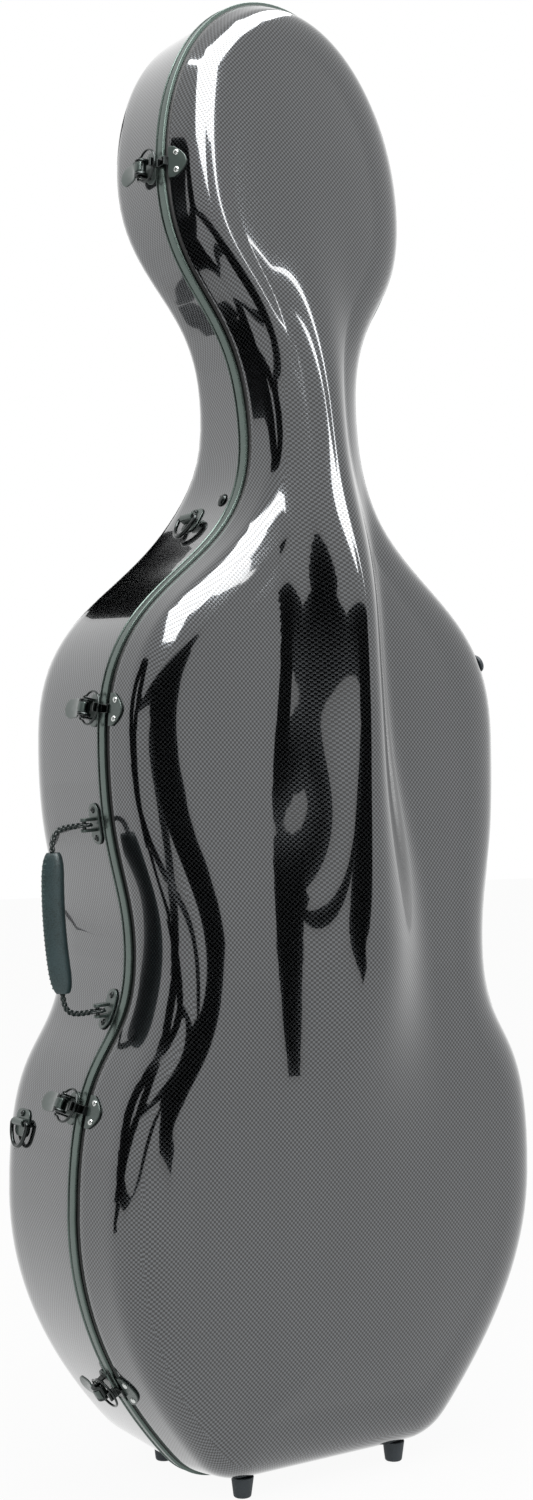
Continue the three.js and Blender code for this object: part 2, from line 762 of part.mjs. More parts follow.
// One leaf: its knuckles, the bridge over the rim and the plate on the shell
function hingeLeaf(group, shellSide, start, segments) {
  const bridgeTop = plateWall - knuckleRadius;
  const place3 = (low, high) => {
    const [near, far] = [shellSide * low[1], shellSide * high[1]];
    return box([low[0], Math.min(near, far), low[2]], [high[0], Math.max(near, far), high[2]]);
  };
  const clear = knuckleRadius + knuckleGap;
  const knuckles = segments.flatMap(([low, high]) => [
    bar(new THREE.Vector3(0, 0, low), new THREE.Vector3(0, 0, high), knuckleRadius),
    place3([-knuckleRadius, 0, low], [bridgeTop, clear + gap, high]),
  ]);
  const bridge = place3([-knuckleRadius, clear, -hingeHalfHeight],
    [bridgeTop, start + plateWall, hingeHalfHeight]);
  const riser = place3([-knuckleRadius - 2 * hingeAxisOut, start, -hingeHalfHeight],
    [bridgeTop, start + plateWall, hingeHalfHeight]);
  const [near, far] = [shellSide * start, shellSide * (start + hingeLeafWidth)];
  const shape = roundedShape(Math.min(near, far), Math.max(near, far), -hingeHalfHeight, hingeHalfHeight,
    hingeLeafCorner);
  const leaf = seated(group, shellSide, join([riser, plate(group, shellSide, shape)]));
  const bore = bar(new THREE.Vector3(0, 0, -hingeHalfHeight - overrun),
    new THREE.Vector3(0, 0, hingeHalfHeight + overrun), hingePinRadius + gap);
  return join([leaf, bridge, ...knuckles]).subtract(bore);
}

for (const [name, height] of Object.entries(hingeHeights)) {
  const group = hingeGroup(height);
  const third = hingeHalfHeight / 3;
  const ends = [[-hingeHalfHeight, -third - knuckleGap / 2], [third + knuckleGap / 2, hingeHalfHeight]];
  const middle = [[-third + knuckleGap / 2, third - knuckleGap / 2]];
  const backLeaf = hingeLeaf(group, back, hingeAxisFront + latchStart, ends);
  const lidLeaf = hingeLeaf(group, lid, knuckleRadius + 2 * knuckleGap, middle);
  piece(group, `hinge_back_leaf_${name}`, backLeaf, latchMetal);
  piece(group, `hinge_lid_leaf_${name}`, lidLeaf, latchMetal);
  piece(group, `hinge_pin_${name}`, bar(new THREE.Vector3(0, 0, -hingeHalfHeight),
    new THREE.Vector3(0, 0, hingeHalfHeight), hingePinRadius, boreSides), wireMetal);
}

// Carrying handle, in a frame on the line through both bars

function handleBarPoint(height) {
  const p = outlineAt(height, -1);
  const out = handleAxisRise - anchorBack * draftOf(back, height);
  return place(back, p.x + p.nx * out, anchorBack, p.z + p.nz * out);
}

const handleTop = handleBarPoint(handleUpperHeight);
const handleFoot = handleBarPoint(handleLowerHeight);
const handleAlong = handleFoot.clone().sub(handleTop).normalize();
const handleRear = new THREE.Vector3(0, 1, 0).addScaledVector(handleAlong, -handleAlong.y).normalize();
const handleGroup = groupAt(handleTop.clone().add(handleFoot).divideScalar(2),
  handleRear.clone().cross(handleAlong), handleRear, handleAlong);
const handleHalf = handleTop.distanceTo(handleFoot) / 2;
const lugRoot = 3 * handleAxisRise;
const eyeRadius = handleBarRadius + gap + linkCordRadius;

function anchorAt(end) {
  const middle = end * handleHalf;
  const shape = roundedShape(-anchorHalfWidth, anchorHalfWidth, middle - anchorHalfHeight,
    middle + anchorHalfHeight, anchorHalfWidth);
  const lugs = [-1, 1].flatMap((s) => {
    const near = middle + s * (linkCordRadius + gap);
    const far = near + s * lugWall;
    return [
      box([-lugRoot, -lugRadius, Math.min(near, far)], [0, lugRadius, Math.max(near, far)]),
      bar(new THREE.Vector3(0, 0, near), new THREE.Vector3(0, 0, far), lugRadius),
    ];
  });
  const barEnd = linkCordRadius + gap + lugWall / 2;
  const rod = bar(new THREE.Vector3(0, 0, middle - barEnd), new THREE.Vector3(0, 0, middle + barEnd),
    handleBarRadius, boreSides);
  const base = prism(shape, -lugRoot, 0).intersect(inGroup(layer[back], handleGroup));
  return seated(handleGroup, back, join([base, ...lugs, rod]));
}

function linkAt(end) {
  const middle = end * handleHalf;
  const eye = Array.from({ length: eyeSteps }, (_, k) => {
    const angle = (2 * Math.PI * k) / eyeSteps;
    return new THREE.Vector3(eyeRadius * Math.cos(angle), eyeRadius * Math.sin(angle), middle);
  });
  const gripEnd = end * (gripLength / 2 + gap);
  const cord = new THREE.CubicBezierCurve3(
    new THREE.Vector3(eyeRadius, 0, middle),
    new THREE.Vector3(linkReachShare * gripReach, 0, middle),
    new THREE.Vector3(gripReach, 0, middle),
    new THREE.Vector3(gripReach, 0, gripEnd),
  );
  const run = wire(cord.getPoints(linkSteps), new THREE.Vector3(0, 1, 0), linkCordRadius, false);
  return wire(eye, new THREE.Vector3(0, 0, 1), linkCordRadius, true).add(run);
}

function grip() {
  const both = [...gripShares, ...gripShares.map(([s, w]) => [-s, w]).reverse()];
  return loft(both.map(([s, w]) => Array.from({ length: gripSides }, (_, k) => {
    const angle = (2 * Math.PI * k) / gripSides;
    return new THREE.Vector3(
      gripReach + gripBow * (1 - s * s) + w * gripHalfThickness * Math.cos(angle),
      w * gripHalfWidth * Math.sin(angle), (s * gripLength) / 2);
  })));
}

piece(handleGroup, "handle_anchor_upper", anchorAt(-1), latchMetal);
piece(handleGroup, "handle_anchor_lower", anchorAt(1), latchMetal);
piece(handleGroup, "handle_link_upper", linkAt(-1), leather);
piece(handleGroup, "handle_link_lower", linkAt(1), leather);
piece(handleGroup, "handle_grip", grip(), leather);

// Rings for shoulder straps: a plate folded round the straight side of a D ring

function strapPlate(group, down) {
  const foldInner = ringWireRadius + gap;
  const foldOuter = foldInner + strapLugWall / 2;
  const foldHalf = strapPlateHalfWidth - strapLugWall;
  const shape = roundedShape(-strapPlateHalfWidth, strapPlateHalfWidth, -strapPlateHeight / 2,
    strapPlateHeight / 2, strapPlateHalfWidth / 2);
  const fold = bar(new THREE.Vector3(strapBarRise, -foldHalf, 0),
    new THREE.Vector3(strapBarRise, foldHalf, 0), foldOuter);
  const web = box([-2 * overrun, -foldHalf, -down * foldOuter - strapLugWall / 2],
    [strapBarRise, foldHalf, -down * foldOuter + strapLugWall / 2]);
  const bore = bar(new THREE.Vector3(strapBarRise, -ringHalfWidth, 0),
    new THREE.Vector3(strapBarRise, ringHalfWidth, 0), foldInner);
  return seated(group, back, join([plate(group, back, shape), fold, web]).subtract(bore));
}

function strapRing(down) {
  const points = [];
  for (let i = 0; i <= ringSteps; i++) {
    const angle = (Math.PI * i) / ringSteps;
    const [y, z] = [-ringHalfWidth * Math.cos(angle), down * ringDrop * Math.sin(angle)];
    points.push(new THREE.Vector3(strapBarRise, y, z));
  }
  return wire(points, new THREE.Vector3(1, 0, 0), ringWireRadius, true);
}

for (const [name, height] of Object.entries(strapHeights)) {
  for (const side of [-1, 1]) {
    const label = `${name}_${side < 0 ? "left" : "right"}`;
    const group = groupOnShell(side, height, back, strapDepthShare * backFace(height));
    piece(group, `strap_plate_${label}`, strapPlate(group, -side), latchMetal);
    piece(group, `strap_ring_${label}`, strapRing(-side), wireMetal);
  }
}

// Feet, side feet and rivets

function lathe(points, segments) {
  return new THREE.LatheGeometry(points.map(([r, h]) => new THREE.Vector2(r, h)), segments);
}

for (const side of [-1, 1]) {
  const label = side < 0 ? "left" : "right";
  for (const [name, shellSide, depth] of [["lid", lid, lidFootDepth], ["back", back, backFootDepth]]) {
    const top = baseHeight + depth * draftOf(shellSide, baseHeight) + overrun;
    const cone = lathe([
      [0, 0], [footBottomRadius - footEdge, 0], [footBottomRadius, footEdge], [footTopRadius, top], [0, top],
    ], footSides);
    cone.rotateX(Math.PI / 2);
    const foot = solidOf(cone.translate(side * footSpread, shellSide * depth, 0));
    piece(model, `foot_${name}_${label}`, foot.subtract(outside[shellSide]), rubber);
  }
}

const sideFootPlaces = [["lid", lid, sideFootLidShare], ["back", back, sideFootBackShare]];
for (const [name, height] of Object.entries(sideFootHeights)) {
  for (const [label, shellSide, share] of sideFootPlaces) {
    const group = groupOnShell(1, height, shellSide, share * faceOf(shellSide, height));
    const puck = bar(new THREE.Vector3(-sideFootRise, 0, 0), new THREE.Vector3(sideFootRise, 0, 0),
      sideFootRadius, footSides);
    piece(group, `side_foot_${label}_${name}`, seated(group, shellSide, puck), rubber);
  }
}

for (const side of [-1, 1]) {
  const group = groupOnShell(side, rivetHeight, back, rivetDepth);
  const dome = lathe([
    [0, -rivetRise], [rivetRadius, -rivetRise], [rivetRadius, gap + rivetBrimShare * rivetRise],
    [rivetDomeShare * rivetRadius, gap + rivetBrimShare * rivetRise],
    [rivetRadius / 2, gap + rivetDomeShare * rivetRise], [0, gap + rivetRise],
  ], roundSides);
  dome.rotateZ(-Math.PI / 2);
  piece(group, `strap_rivet_${side < 0 ? "left" : "right"}`, seated(group, back, solidOf(dome)), latchMetal);
}

// Soft pieces inside the back shell

function cradle() {
  const front = lean(neckHeight) + cradleFront;
  const rear = front + backNeckDepth;
  const low = neckHeight - cradleHalfHeight;
  const high = neckHeight + cradleHalfHeight;
  const block = box([-headHalf, front, low], [headHalf, rear, high]);
  const floor = front + cradleGrooveFloor - cradleGrooveHalf;
  const groove = box([-cradleGrooveHalf, front - overrun, low - overrun],
    [cradleGrooveHalf, floor, high + overrun]);
  const round = bar(new THREE.Vector3(0, floor, low - overrun), new THREE.Vector3(0, floor, high + overrun),
    cradleGrooveHalf, footSides);
  return room.intersect(block).subtract(groove).subtract(round);
}

function strapBand() {
  const front = lean(neckHeight) + cradleFront - gap;
  const half = neckHalf - roomOffset - overrun;
  const stations = [...strapBandShares, ...strapBandShares.map(([s, r]) => [-s, r]).reverse()];
  const [low, high] = [neckHeight - strapBandWidth / 2, neckHeight + strapBandWidth / 2];
  const rows = stations.map(([s, r]) => {
    const under = front - r * strapBandRise;
    return [[under, low], [under, high], [under - strapBandWall, high], [under - strapBandWall, low]]
      .map(([y, z]) => new THREE.Vector3(s * half, y, z));
  });
  const cap = (row) => {
    const middle = row.reduce((sum, p) => sum.add(p), new THREE.Vector3()).divideScalar(row.length);
    return row.map(() => middle.clone());
  };
  return loft([cap(rows[0]), ...rows, cap(rows[rows.length - 1])]);
}

function sidePad(side, height) {
  const inner = room.translate(-side * padThickness, 0, 0);
  const reach = lowerBoutHalf;
  const zone = box([side < 0 ? -reach : 0, padBack - padDepth / 2, height - padLength / 2],
    [side < 0 ? 0 : reach, padBack + padDepth / 2, height + padLength / 2]);
  return room.subtract(inner).intersect(zone);
}

function endPad() {
  const floor = baseHeight + roomOffset;
  const top = floor + endPadHeight;
  const zone = box([-endPadHalfWidth, padBack - padDepth / 2, 0],
    [endPadHalfWidth, padBack + padDepth / 2, top]);
  const hole = bar(new THREE.Vector3(0, padBack, floor + overrun),
    new THREE.Vector3(0, padBack, top + overrun), endPadHoleRadius, footSides);
  return room.intersect(zone).subtract(hole);
}

piece(model, "neck_cradle", cradle(), velour);
piece(model, "neck_strap", strapBand(), velour);
for (const side of [-1, 1]) {
  const label = side < 0 ? "left" : "right";
  piece(model, `upper_pad_${label}`, sidePad(side, upperPadHeight), velour);
  piece(model, `lower_pad_${label}`, sidePad(side, lowerPadHeight), velour);
}
piece(model, "end_pad", endPad(), velour);

// The origin is under the middle of the case's box, on the floor
const whole = new THREE.Group();
const extent = new THREE.Box3().setFromObject(model, true);
const centre = extent.getCenter(new THREE.Vector3());
model.position.set(-centre.x, -centre.y, 0);
whole.add(model);

export default whole;
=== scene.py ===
"""Looks of a hard case for a cello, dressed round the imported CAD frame.

Sizes are in millimetres, and angles in degrees, unless a name or a comment says otherwise.
"""

import json
import logging
import math
from collections.abc import Callable
from dataclasses import dataclass, field
from enum import Enum

import bmesh
import bpy
import numpy as np
from mathutils import Matrix, Vector
from mathutils.geometry import tessellate_polygon


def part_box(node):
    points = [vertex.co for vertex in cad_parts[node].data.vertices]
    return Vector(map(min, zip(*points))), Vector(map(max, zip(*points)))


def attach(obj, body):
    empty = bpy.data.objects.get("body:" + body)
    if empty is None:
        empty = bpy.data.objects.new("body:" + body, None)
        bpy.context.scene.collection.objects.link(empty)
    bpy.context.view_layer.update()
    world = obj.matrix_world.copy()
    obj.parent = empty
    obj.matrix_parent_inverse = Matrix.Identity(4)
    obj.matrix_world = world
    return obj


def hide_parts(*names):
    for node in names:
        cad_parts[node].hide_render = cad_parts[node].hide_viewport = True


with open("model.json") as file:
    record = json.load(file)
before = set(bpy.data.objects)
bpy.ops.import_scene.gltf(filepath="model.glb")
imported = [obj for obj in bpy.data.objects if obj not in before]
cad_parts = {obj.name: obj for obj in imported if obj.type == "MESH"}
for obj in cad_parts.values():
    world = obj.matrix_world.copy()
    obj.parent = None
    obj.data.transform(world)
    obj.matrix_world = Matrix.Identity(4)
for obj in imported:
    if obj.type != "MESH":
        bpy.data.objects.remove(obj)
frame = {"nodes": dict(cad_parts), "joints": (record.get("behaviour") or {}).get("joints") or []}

Section = list[tuple[float, float]]
Stations = tuple[tuple[float, float], ...]
Socket = bpy.types.NodeSocket
Material = bpy.types.Material
Piece = bpy.types.Object

MM = 0.001
TINY = 1e-9
# Points that lie nearer than this, in metres, are joined
MERGE = 1e-6
PHOTO_WIDTH = 533
PHOTO_HEIGHT = 1500
SENSOR = 36.0
# The two sides of the case, by the way that they face along X
HANDS = {-1: "left", 1: "right"}
# Steps of a rounded edge, from its start to its end
QUARTER = (0, math.pi / 6, math.pi / 3, math.pi / 2)
log = logging.getLogger("cello_case")


class Half(Enum):
    """The two halves of the case, by the way that they face along Y."""

    BACK = 1
    LID = -1

    @property
    def body(self) -> str:
        """The CAD body of the half, which names its pieces too."""
        return self.name.lower()


class Level(Enum):
    """Heights at which fittings of one kind repeat."""

    HEAD = "head"
    UPPER = "upper"
    LOWER = "lower"
    BASE = "base"


def linear(hex_colour: str) -> tuple[float, float, float, float]:
    """Turns an sRGB hex colour into linear values.

    Args:
        hex_colour: six hex digits, with or without a leading hash.

    Returns:
        Red, green, blue and an alpha of one.
    """
    digits = hex_colour.lstrip("#")
    parts = [int(digits[i : i + 2], 16) / 255 for i in (0, 2, 4)]
    shades = [p / 12.92 if p <= 0.04045 else ((p + 0.055) / 1.055) ** 2.4 for p in parts]
    return (shades[0], shades[1], shades[2], 1.0)


def unit(vectors: np.ndarray) -> np.ndarray:
    """Scales a vector, or each row of an array, to a length of one."""
    return vectors / np.maximum(np.linalg.norm(vectors, axis=-1, keepdims=True), TINY)


def around(points: np.ndarray, axis: int = 0) -> np.ndarray:
    """The way from the point before to the point after, for each point of a loop."""
    return np.roll(points, -1, axis=axis) - np.roll(points, 1, axis=axis)


def angles(start: float, end: float, count: int) -> np.ndarray:
    """Even angles in radians between two angles in degrees."""
    return np.radians(np.linspace(start, end, count))


def full_turn(sides: int) -> np.ndarray:
    """Even angles in radians round a whole turn."""
    return np.linspace(0, 2 * math.pi, sides, endpoint=False)


def oval(x: float, y: float, across: float, up: float, turns: np.ndarray) -> np.ndarray:
    """Points of a round or oval arc, from its middle, its two half widths and its angles."""
    return np.stack([x + across * np.cos(turns), y + up * np.sin(turns)], 1)


def cubic(controls: tuple, steps: int) -> np.ndarray:
    """Points on a cubic curve through four control points."""
    a, b, c, d = (np.array(p, float) for p in controls)
    t = np.linspace(0, 1, steps + 1)[:, None]
    return a * (1 - t) ** 3 + 3 * b * t * (1 - t) ** 2 + 3 * c * t * t * (1 - t) + d * t**3


def quadratic(start: np.ndarray, middle: np.ndarray, end: np.ndarray, t: np.ndarray | float) -> np.ndarray:
    """A value or point on a quadratic curve, at a share of its run."""
    return (1 - t) ** 2 * start + 2 * t * (1 - t) * middle + t * t * end


@dataclass(frozen=True)
class CaseForm:
    """The case's form: its outline at the seam, the depths of its faces and the ridge.

    Points of the outline are half width and height, stations are height and size, and shares say how far the
    controls of a curve lie along its rise. They follow the CAD source, but for the depths of the back, which
    follow the photograph.
    """

    base_height: float = 15
    base_half: float = 95
    corner_radius: float = 60
    corner_turn: float = 48
    lower: tuple[float, float] = (241, 264)
    waist: tuple[float, float] = (183, 487)
    upper: tuple[float, float] = (210.8, 686)
    neck: tuple[float, float] = (56, 961)
    head: tuple[float, float] = (132, 1195)
    apex_height: float = 1380
    flank_shares: tuple[float, float] = (0.31, 0.44)
    lower_waist_shares: tuple[float, float] = (0.75, 0.43)
    upper_waist_shares: tuple[float, float] = (0.35, 0.6)
    shoulder_shares: tuple[float, float] = (0.56, 0.5)
    throat_shares: tuple[float, float] = (0.58, 0.5)
    bend_start: float = 850
    bend_end: float = 970
    head_lean: float = 5.6
    lid_depth_stations: Stations = (
        (15, 66), (264, 82), (487, 82), (686, 52), (961, 46), (1195, 34), (1380, 30),
    )
    back_depth_stations: Stations = (
        (15, 152), (264, 161), (487, 166), (686, 160), (860, 160), (961, 100), (1085, 78), (1195, 110), (1380, 121),
    )
    ridge_stations: Stations = (
        (290, 0), (487, 34), (686, 56), (800, 50), (961, 10), (1195, 0),
    )
    ridge_half_stations: Stations = ((290, 120), (487, 92), (800, 60), (961, 46))
    lid_draft_stations: Stations = ((800, 7), (1195, 27))
    lid_round_stations: Stations = ((686, 60), (961, 36), (1195, 50))
    back_round_stations: Stations = ((686, 50), (961, 36), (1195, 50))
    back_draft: float = 3
    lid_wall_share: float = 0.52
    back_wall_share: float = 0.76
    crown_rise: float = 6
    spine_foot: float = 140
    fairing: float = 30
    outline_fairing: float = 10
    turn_fairing: float = 34


class Loft:
    """Evaluates the case's form: points of its outline and of both skins."""

    # Steps of the outline's stretches: base, corner, flank, four sways and crown
    STEPS = (5, 12, 22, 22, 20, 30, 24, 26)
    TABLES = ("lid_depth", "back_depth", "ridge", "ridge_half", "lid_draft", "lid_round", "back_round")
    # Heights of a faired table's ends, its step, and how many steps the fairing reaches
    LOW, HIGH, STEP, REACH = -200, 1601, 2.0, 60

    def __init__(self, form: CaseForm, shift: tuple[float, float]) -> None:
        """Samples the outline.

        Args:
            form: the sizes of the case.
            shift: how far the model's middle line lies from the frame's origin along X and Y.
        """
        self.form = form
        self.shift = shift
        rough = self._half_outline()
        closed = self._closed(rough)[0]
        self.half = self._averaged(closed, closed, form.outline_fairing)[: len(rough)]
        self.half[[0, -1], 0] = 0
        self.points, self.normals = self._closed(self.half)
        # Deep insets follow an evened normal, so that the rows don't cross where the outline turns sharply
        self.even_normals = unit(self._averaged(self.points, self.normals, form.turn_fairing))
        lengths = np.linalg.norm(np.diff(self.half, axis=0), axis=1)
        self.arc = np.concatenate([[0], np.cumsum(lengths)])
        self.half_normals = self.normals[: len(self.half)]
        self.tables = {name: self._fair(getattr(form, name + "_stations")) for name in self.TABLES}

    def _half_outline(self) -> np.ndarray:
        """Points of the right half of the outline, from the middle of the base to the apex.

        Returns:
            One point a row, half width and height.
        """
        form = self.form
        turn = math.radians(form.corner_turn)
        top = form.base_height + form.corner_radius
        bend = np.linspace(-math.pi / 2, turn - math.pi / 2, self.STEPS[1] + 1)
        corner = oval(form.base_half, top, form.corner_radius, form.corner_radius, bend)
        start, low = corner[-1], np.array(form.lower, float)
        rise = low[1] - start[1]
        flank = (
            start,
            start + np.array([math.cos(turn), math.sin(turn)]) * rise * form.flank_shares[0],
            low - np.array([0, rise * form.flank_shares[1]]),
            low,
        )
        base = np.linspace((0, form.base_height), (form.base_half, form.base_height), self.STEPS[0] + 1)
        stretches = [base, corner, cubic(flank, self.STEPS[2])]
        sways = (
            (form.lower, form.waist, form.lower_waist_shares),
            (form.waist, form.upper, form.upper_waist_shares),
            (form.upper, form.neck, form.shoulder_shares),
            (form.neck, form.head, form.throat_shares),
        )
        for (low_end, high_end, shares), steps in zip(sways, self.STEPS[3:7]):
            rise = high_end[1] - low_end[1]
            controls = (
                low_end,
                (low_end[0], low_end[1] + rise * shares[0]),
                (high_end[0], high_end[1] - rise * shares[1]),
                high_end,
            )
            stretches.append(cubic(controls, steps))
        turns = np.linspace(0, math.pi / 2, self.STEPS[7] + 1)
        crown = form.apex_height - form.head[1]
        stretches.append(oval(0, form.head[1], form.head[0], crown, turns))
        joined = np.concatenate([stretches[0]] + [s[1:] for s in stretches[1:]])
        joined[-1, 0] = 0
        return joined

    @staticmethod
    def _closed(half: np.ndarray) -> tuple[np.ndarray, np.ndarray]:
        """The whole outline and its outward normals, up the right side and down the left.

        Args:
            half: the right half of the outline.

        Returns:
            The points and their normals.
        """
        left = half[1:-1][::-1] * np.array([-1, 1])
        points = np.concatenate([half, left])
        along = unit(around(points))
        return points, np.stack([along[:, 1], -along[:, 0]], 1)

    @staticmethod
    def _averaged(points: np.ndarray, values: np.ndarray, reach: float) -> np.ndarray:
        """Evens values along the closed outline.

        Args:
            points: the outline.
            values: one row for each point of the outline.
            reach: how far along the outline the average reaches, as one standard deviation.

        Returns:
            The evened values, in the same order.
        """
        steps = np.linalg.norm(np.roll(points, -1, axis=0) - points, axis=1)
        place = np.concatenate([[0], np.cumsum(steps)[:-1]])
        share = (steps + np.roll(steps, 1)) / 2
        apart = np.abs(place[:, None] - place[None])
        apart = np.minimum(apart, steps.sum() - apart)
        weights = np.exp(-0.5 * (apart / reach) ** 2) * share[None]
        return weights @ values / weights.sum(axis=1, keepdims=True)

    def _fair(self, stations: Stations) -> tuple[np.ndarray, np.ndarray]:
        """Eases between stations and then fairs the result, so that gloss shows no breaks.

        Args:
            stations: pairs of height and size.

        Returns:
            Even heights and the size at each.
        """
        heights = np.arange(self.LOW, self.HIGH, self.STEP)
        xs, ys = np.array(stations, float).T
        spot = np.clip(np.searchsorted(xs, heights, side="right") - 1, 0, len(xs) - 2)
        t = np.clip((heights - xs[spot]) / (xs[spot + 1] - xs[spot]), 0, 1)
        values = ys[spot] + (ys[spot + 1] - ys[spot]) * t * t * (3 - 2 * t)
        reach = np.arange(-self.REACH, self.REACH + 1) * self.STEP
        kernel = np.exp(-0.5 * (reach / self.form.fairing) ** 2)
        padded = np.pad(values, self.REACH, mode="edge")
        return heights, np.convolve(padded, kernel / kernel.sum(), mode="valid")

    def value(self, name: str, height: np.ndarray | float) -> np.ndarray:
        """A faired size at a height."""
        return np.interp(height, *self.tables[name])

    def _lean_share(self, height: np.ndarray | float) -> np.ndarray:
        """How far along the seam's bend a height lies, from zero to one."""
        form = self.form
        return np.clip((np.asarray(height, float) - form.bend_start) / (form.bend_end - form.bend_start), 0, 1)

    def lean(self, height: np.ndarray | float) -> np.ndarray:
        """How far the seam lies behind the plane of the body at a height."""
        form, t = self.form, self._lean_share(height)
        beyond = np.maximum(np.asarray(height, float) - form.bend_end, 0)
        return math.tan(math.radians(form.head_lean)) * (t * t * (form.bend_end - form.bend_start) / 2 + beyond)

    def lean_slope(self, height: float) -> float:
        """The slope of the seam's lean at a height."""
        return math.tan(math.radians(self.form.head_lean)) * float(self._lean_share(height))

    def depth(self, side: Half, height: np.ndarray | float) -> np.ndarray:
        """Depth of a half's face from the seam."""
        return self.value("back_depth" if side is Half.BACK else "lid_depth", height)

    def draft(self, side: Half, height: np.ndarray | float) -> np.ndarray:
        """Tangent of the lean of a half's side wall."""
        if side is Half.BACK:
            return np.tan(np.radians(self.form.back_draft)) * np.ones_like(np.asarray(height, float))
        return np.tan(np.radians(self.value("lid_draft", height)))

    def ridge(self, side: Half, x: np.ndarray, height: np.ndarray) -> np.ndarray:
        """How far the ridge over the bridge stands above the lid's face.

        Args:
            side: which half.
            x: distances from the middle line.
            height: the heights there.

        Returns:
            One height for each distance.
        """
        if side is Half.BACK:
            return np.zeros_like(x)
        reach = np.minimum(np.abs(x) / self.value("ridge_half", height), 1)
        return self.value("ridge", height) * (1 + np.cos(np.pi * reach)) / 2

    def place(self, side: Half, x: np.ndarray, depth: np.ndarray, z: np.ndarray) -> np.ndarray:
        """Turns places in the case's own frame into points of the CAD frame.

        Args:
            side: which half.
            x: distance from the middle line.
            depth: depth from the seam.
            z: height.

        Returns:
            The points, in millimetres.
        """
        x, depth, z = np.broadcast_arrays(np.asarray(x, float), np.asarray(depth, float), np.asarray(z, float))
        return np.stack([x + self.shift[0], self.lean(z) + side.value * depth + self.shift[1], z], -1)

    def skin(
        self, side: Half, edge: float, wall_rows: int = 5, round_rows: int = 11, face_rows: int = 16
    ) -> np.ndarray:
        """The outside of a half, in rows from its edge at the seam to the middle line.

        Args:
            side: which half.
            edge: depth of the first row from the seam.
            wall_rows: rows on the side wall.
            round_rows: rows round the corner between wall and face.
            face_rows: rows from there to the middle line.

        Returns:
            An array of rows, each with one point for every point of the outline.
        """
        form, p, n = self.form, self.points, self.normals
        share = form.back_wall_share if side is Half.BACK else form.lid_wall_share
        rounding = "back_round" if side is Half.BACK else "lid_round"
        draft = self.draft(side, p[:, 1])
        slant = self.depth(side, p[:, 1]) * draft
        rows = []
        for k in range(wall_rows):
            t = k / wall_rows
            end = share * self.depth(side, p[:, 1])
            depth = edge + (end - edge) * t
            rows.append(self._inset(side, depth * draft, depth))
        for t in np.linspace(0, 1, round_rows):
            inset = quadratic(share * slant, slant, self.value(rounding, p[:, 1]), t)
            x, z = (p - unit(n + (self.even_normals - n) * min(1, 2 * t)) * inset[:, None]).T
            reach = 1 - (1 - t) ** 2
            depth = ((1 - t) ** 2 * share + reach) * self.depth(side, z)
            rows.append(self.place(side, x, depth + reach * self.ridge(side, x, z), z))
        rim = rows[-1] - np.array([self.shift[0], 0, 0])
        for s in np.linspace(1, 0, face_rows + 1)[1:]:
            x = rim[:, 0] * s
            foot = np.clip(rim[:, 2], form.spine_foot, form.head[1])
            z = foot + (rim[:, 2] - foot) * s
            depth = self.depth(side, z) + form.crown_rise * (1 - s * s) + self.ridge(side, x, z)
            rows.append(self.place(side, x, depth, z))
        return np.stack(rows)

    def _inset(self, side: Half, inset: np.ndarray, depth: np.ndarray | float) -> np.ndarray:
        """A row of points at a depth, moved in from the outline."""
        x, z = (self.points - self.normals * np.asarray(inset)[..., None]).T
        return self.place(side, x, depth, z)

    def edge_row(self, side: Half, offset: float, depth: float) -> np.ndarray:
        """A row of points of a side wall at a depth, moved in square to the wall."""
        draft = self.draft(side, self.points[:, 1])
        return self._inset(side, offset * np.hypot(1, draft) + depth * draft, depth)

    def thinned(self, rows: np.ndarray, side: Half, offset: float, edge: float) -> np.ndarray:
        """A skin's rows moved in square to the surface, with the first row kept at its depth.

        Args:
            rows: the skin's rows.
            side: which half.
            offset: how far the rows move in.
            edge: depth of the first row.

        Returns:
            The moved rows.
        """
        moved = rows - grid_normals(rows, side) * offset
        moved[0] = self.edge_row(side, offset, edge)
        return moved

    def wall_point(self, side: Half, hand: int, arc: np.ndarray, depth: np.ndarray, rise: np.ndarray) -> np.ndarray:
        """Points on a side wall, by their distance along the outline and from the seam.

        Args:
            side: which half.
            hand: 1 for the right side and -1 for the left.
            arc: distance along the half outline from the middle of the base.
            depth: depth from the seam.
            rise: height above the wall, square to it.

        Returns:
            One point for each distance.
        """
        x, z, nx, nz = self.edge_at(arc)
        draft = self.draft(side, z)
        tilt = np.arctan(draft)
        inset = depth * draft - rise * np.cos(tilt)
        lift = depth + rise * np.sin(tilt)
        return self.place(side, hand * (x - nx * inset), lift, z - nz * inset)

    def edge_at(self, arc: np.ndarray | float) -> tuple[np.ndarray, ...]:
        """Place and outward normal of the half outline, each across and up, at a distance along it."""
        return tuple(np.interp(arc, self.arc, row) for row in (*self.half.T, *self.half_normals.T))

    def arc_at(self, height: float) -> float:
        """Distance along the half outline at a height."""
        return float(np.interp(height, self.half[:, 1], self.arc))


def grid_normals(rows: np.ndarray, side: Half) -> np.ndarray:
    """Outward normals of a grid of points that closes round its rows.

    Args:
        rows: rows of points, the last of which lies on the middle line.
        side: which half the grid belongs to.

    Returns:
        One unit vector for each point.
    """
    down = np.empty_like(rows)
    down[1:-1] = rows[2:] - rows[:-2]
    down[0] = rows[1] - rows[0]
    down[-1] = rows[-1] - rows[-2]
    normal = np.cross(down, around(rows, 1)) * side.value
    normal[-1] = (0, side.value, 0)
    return unit(normal)


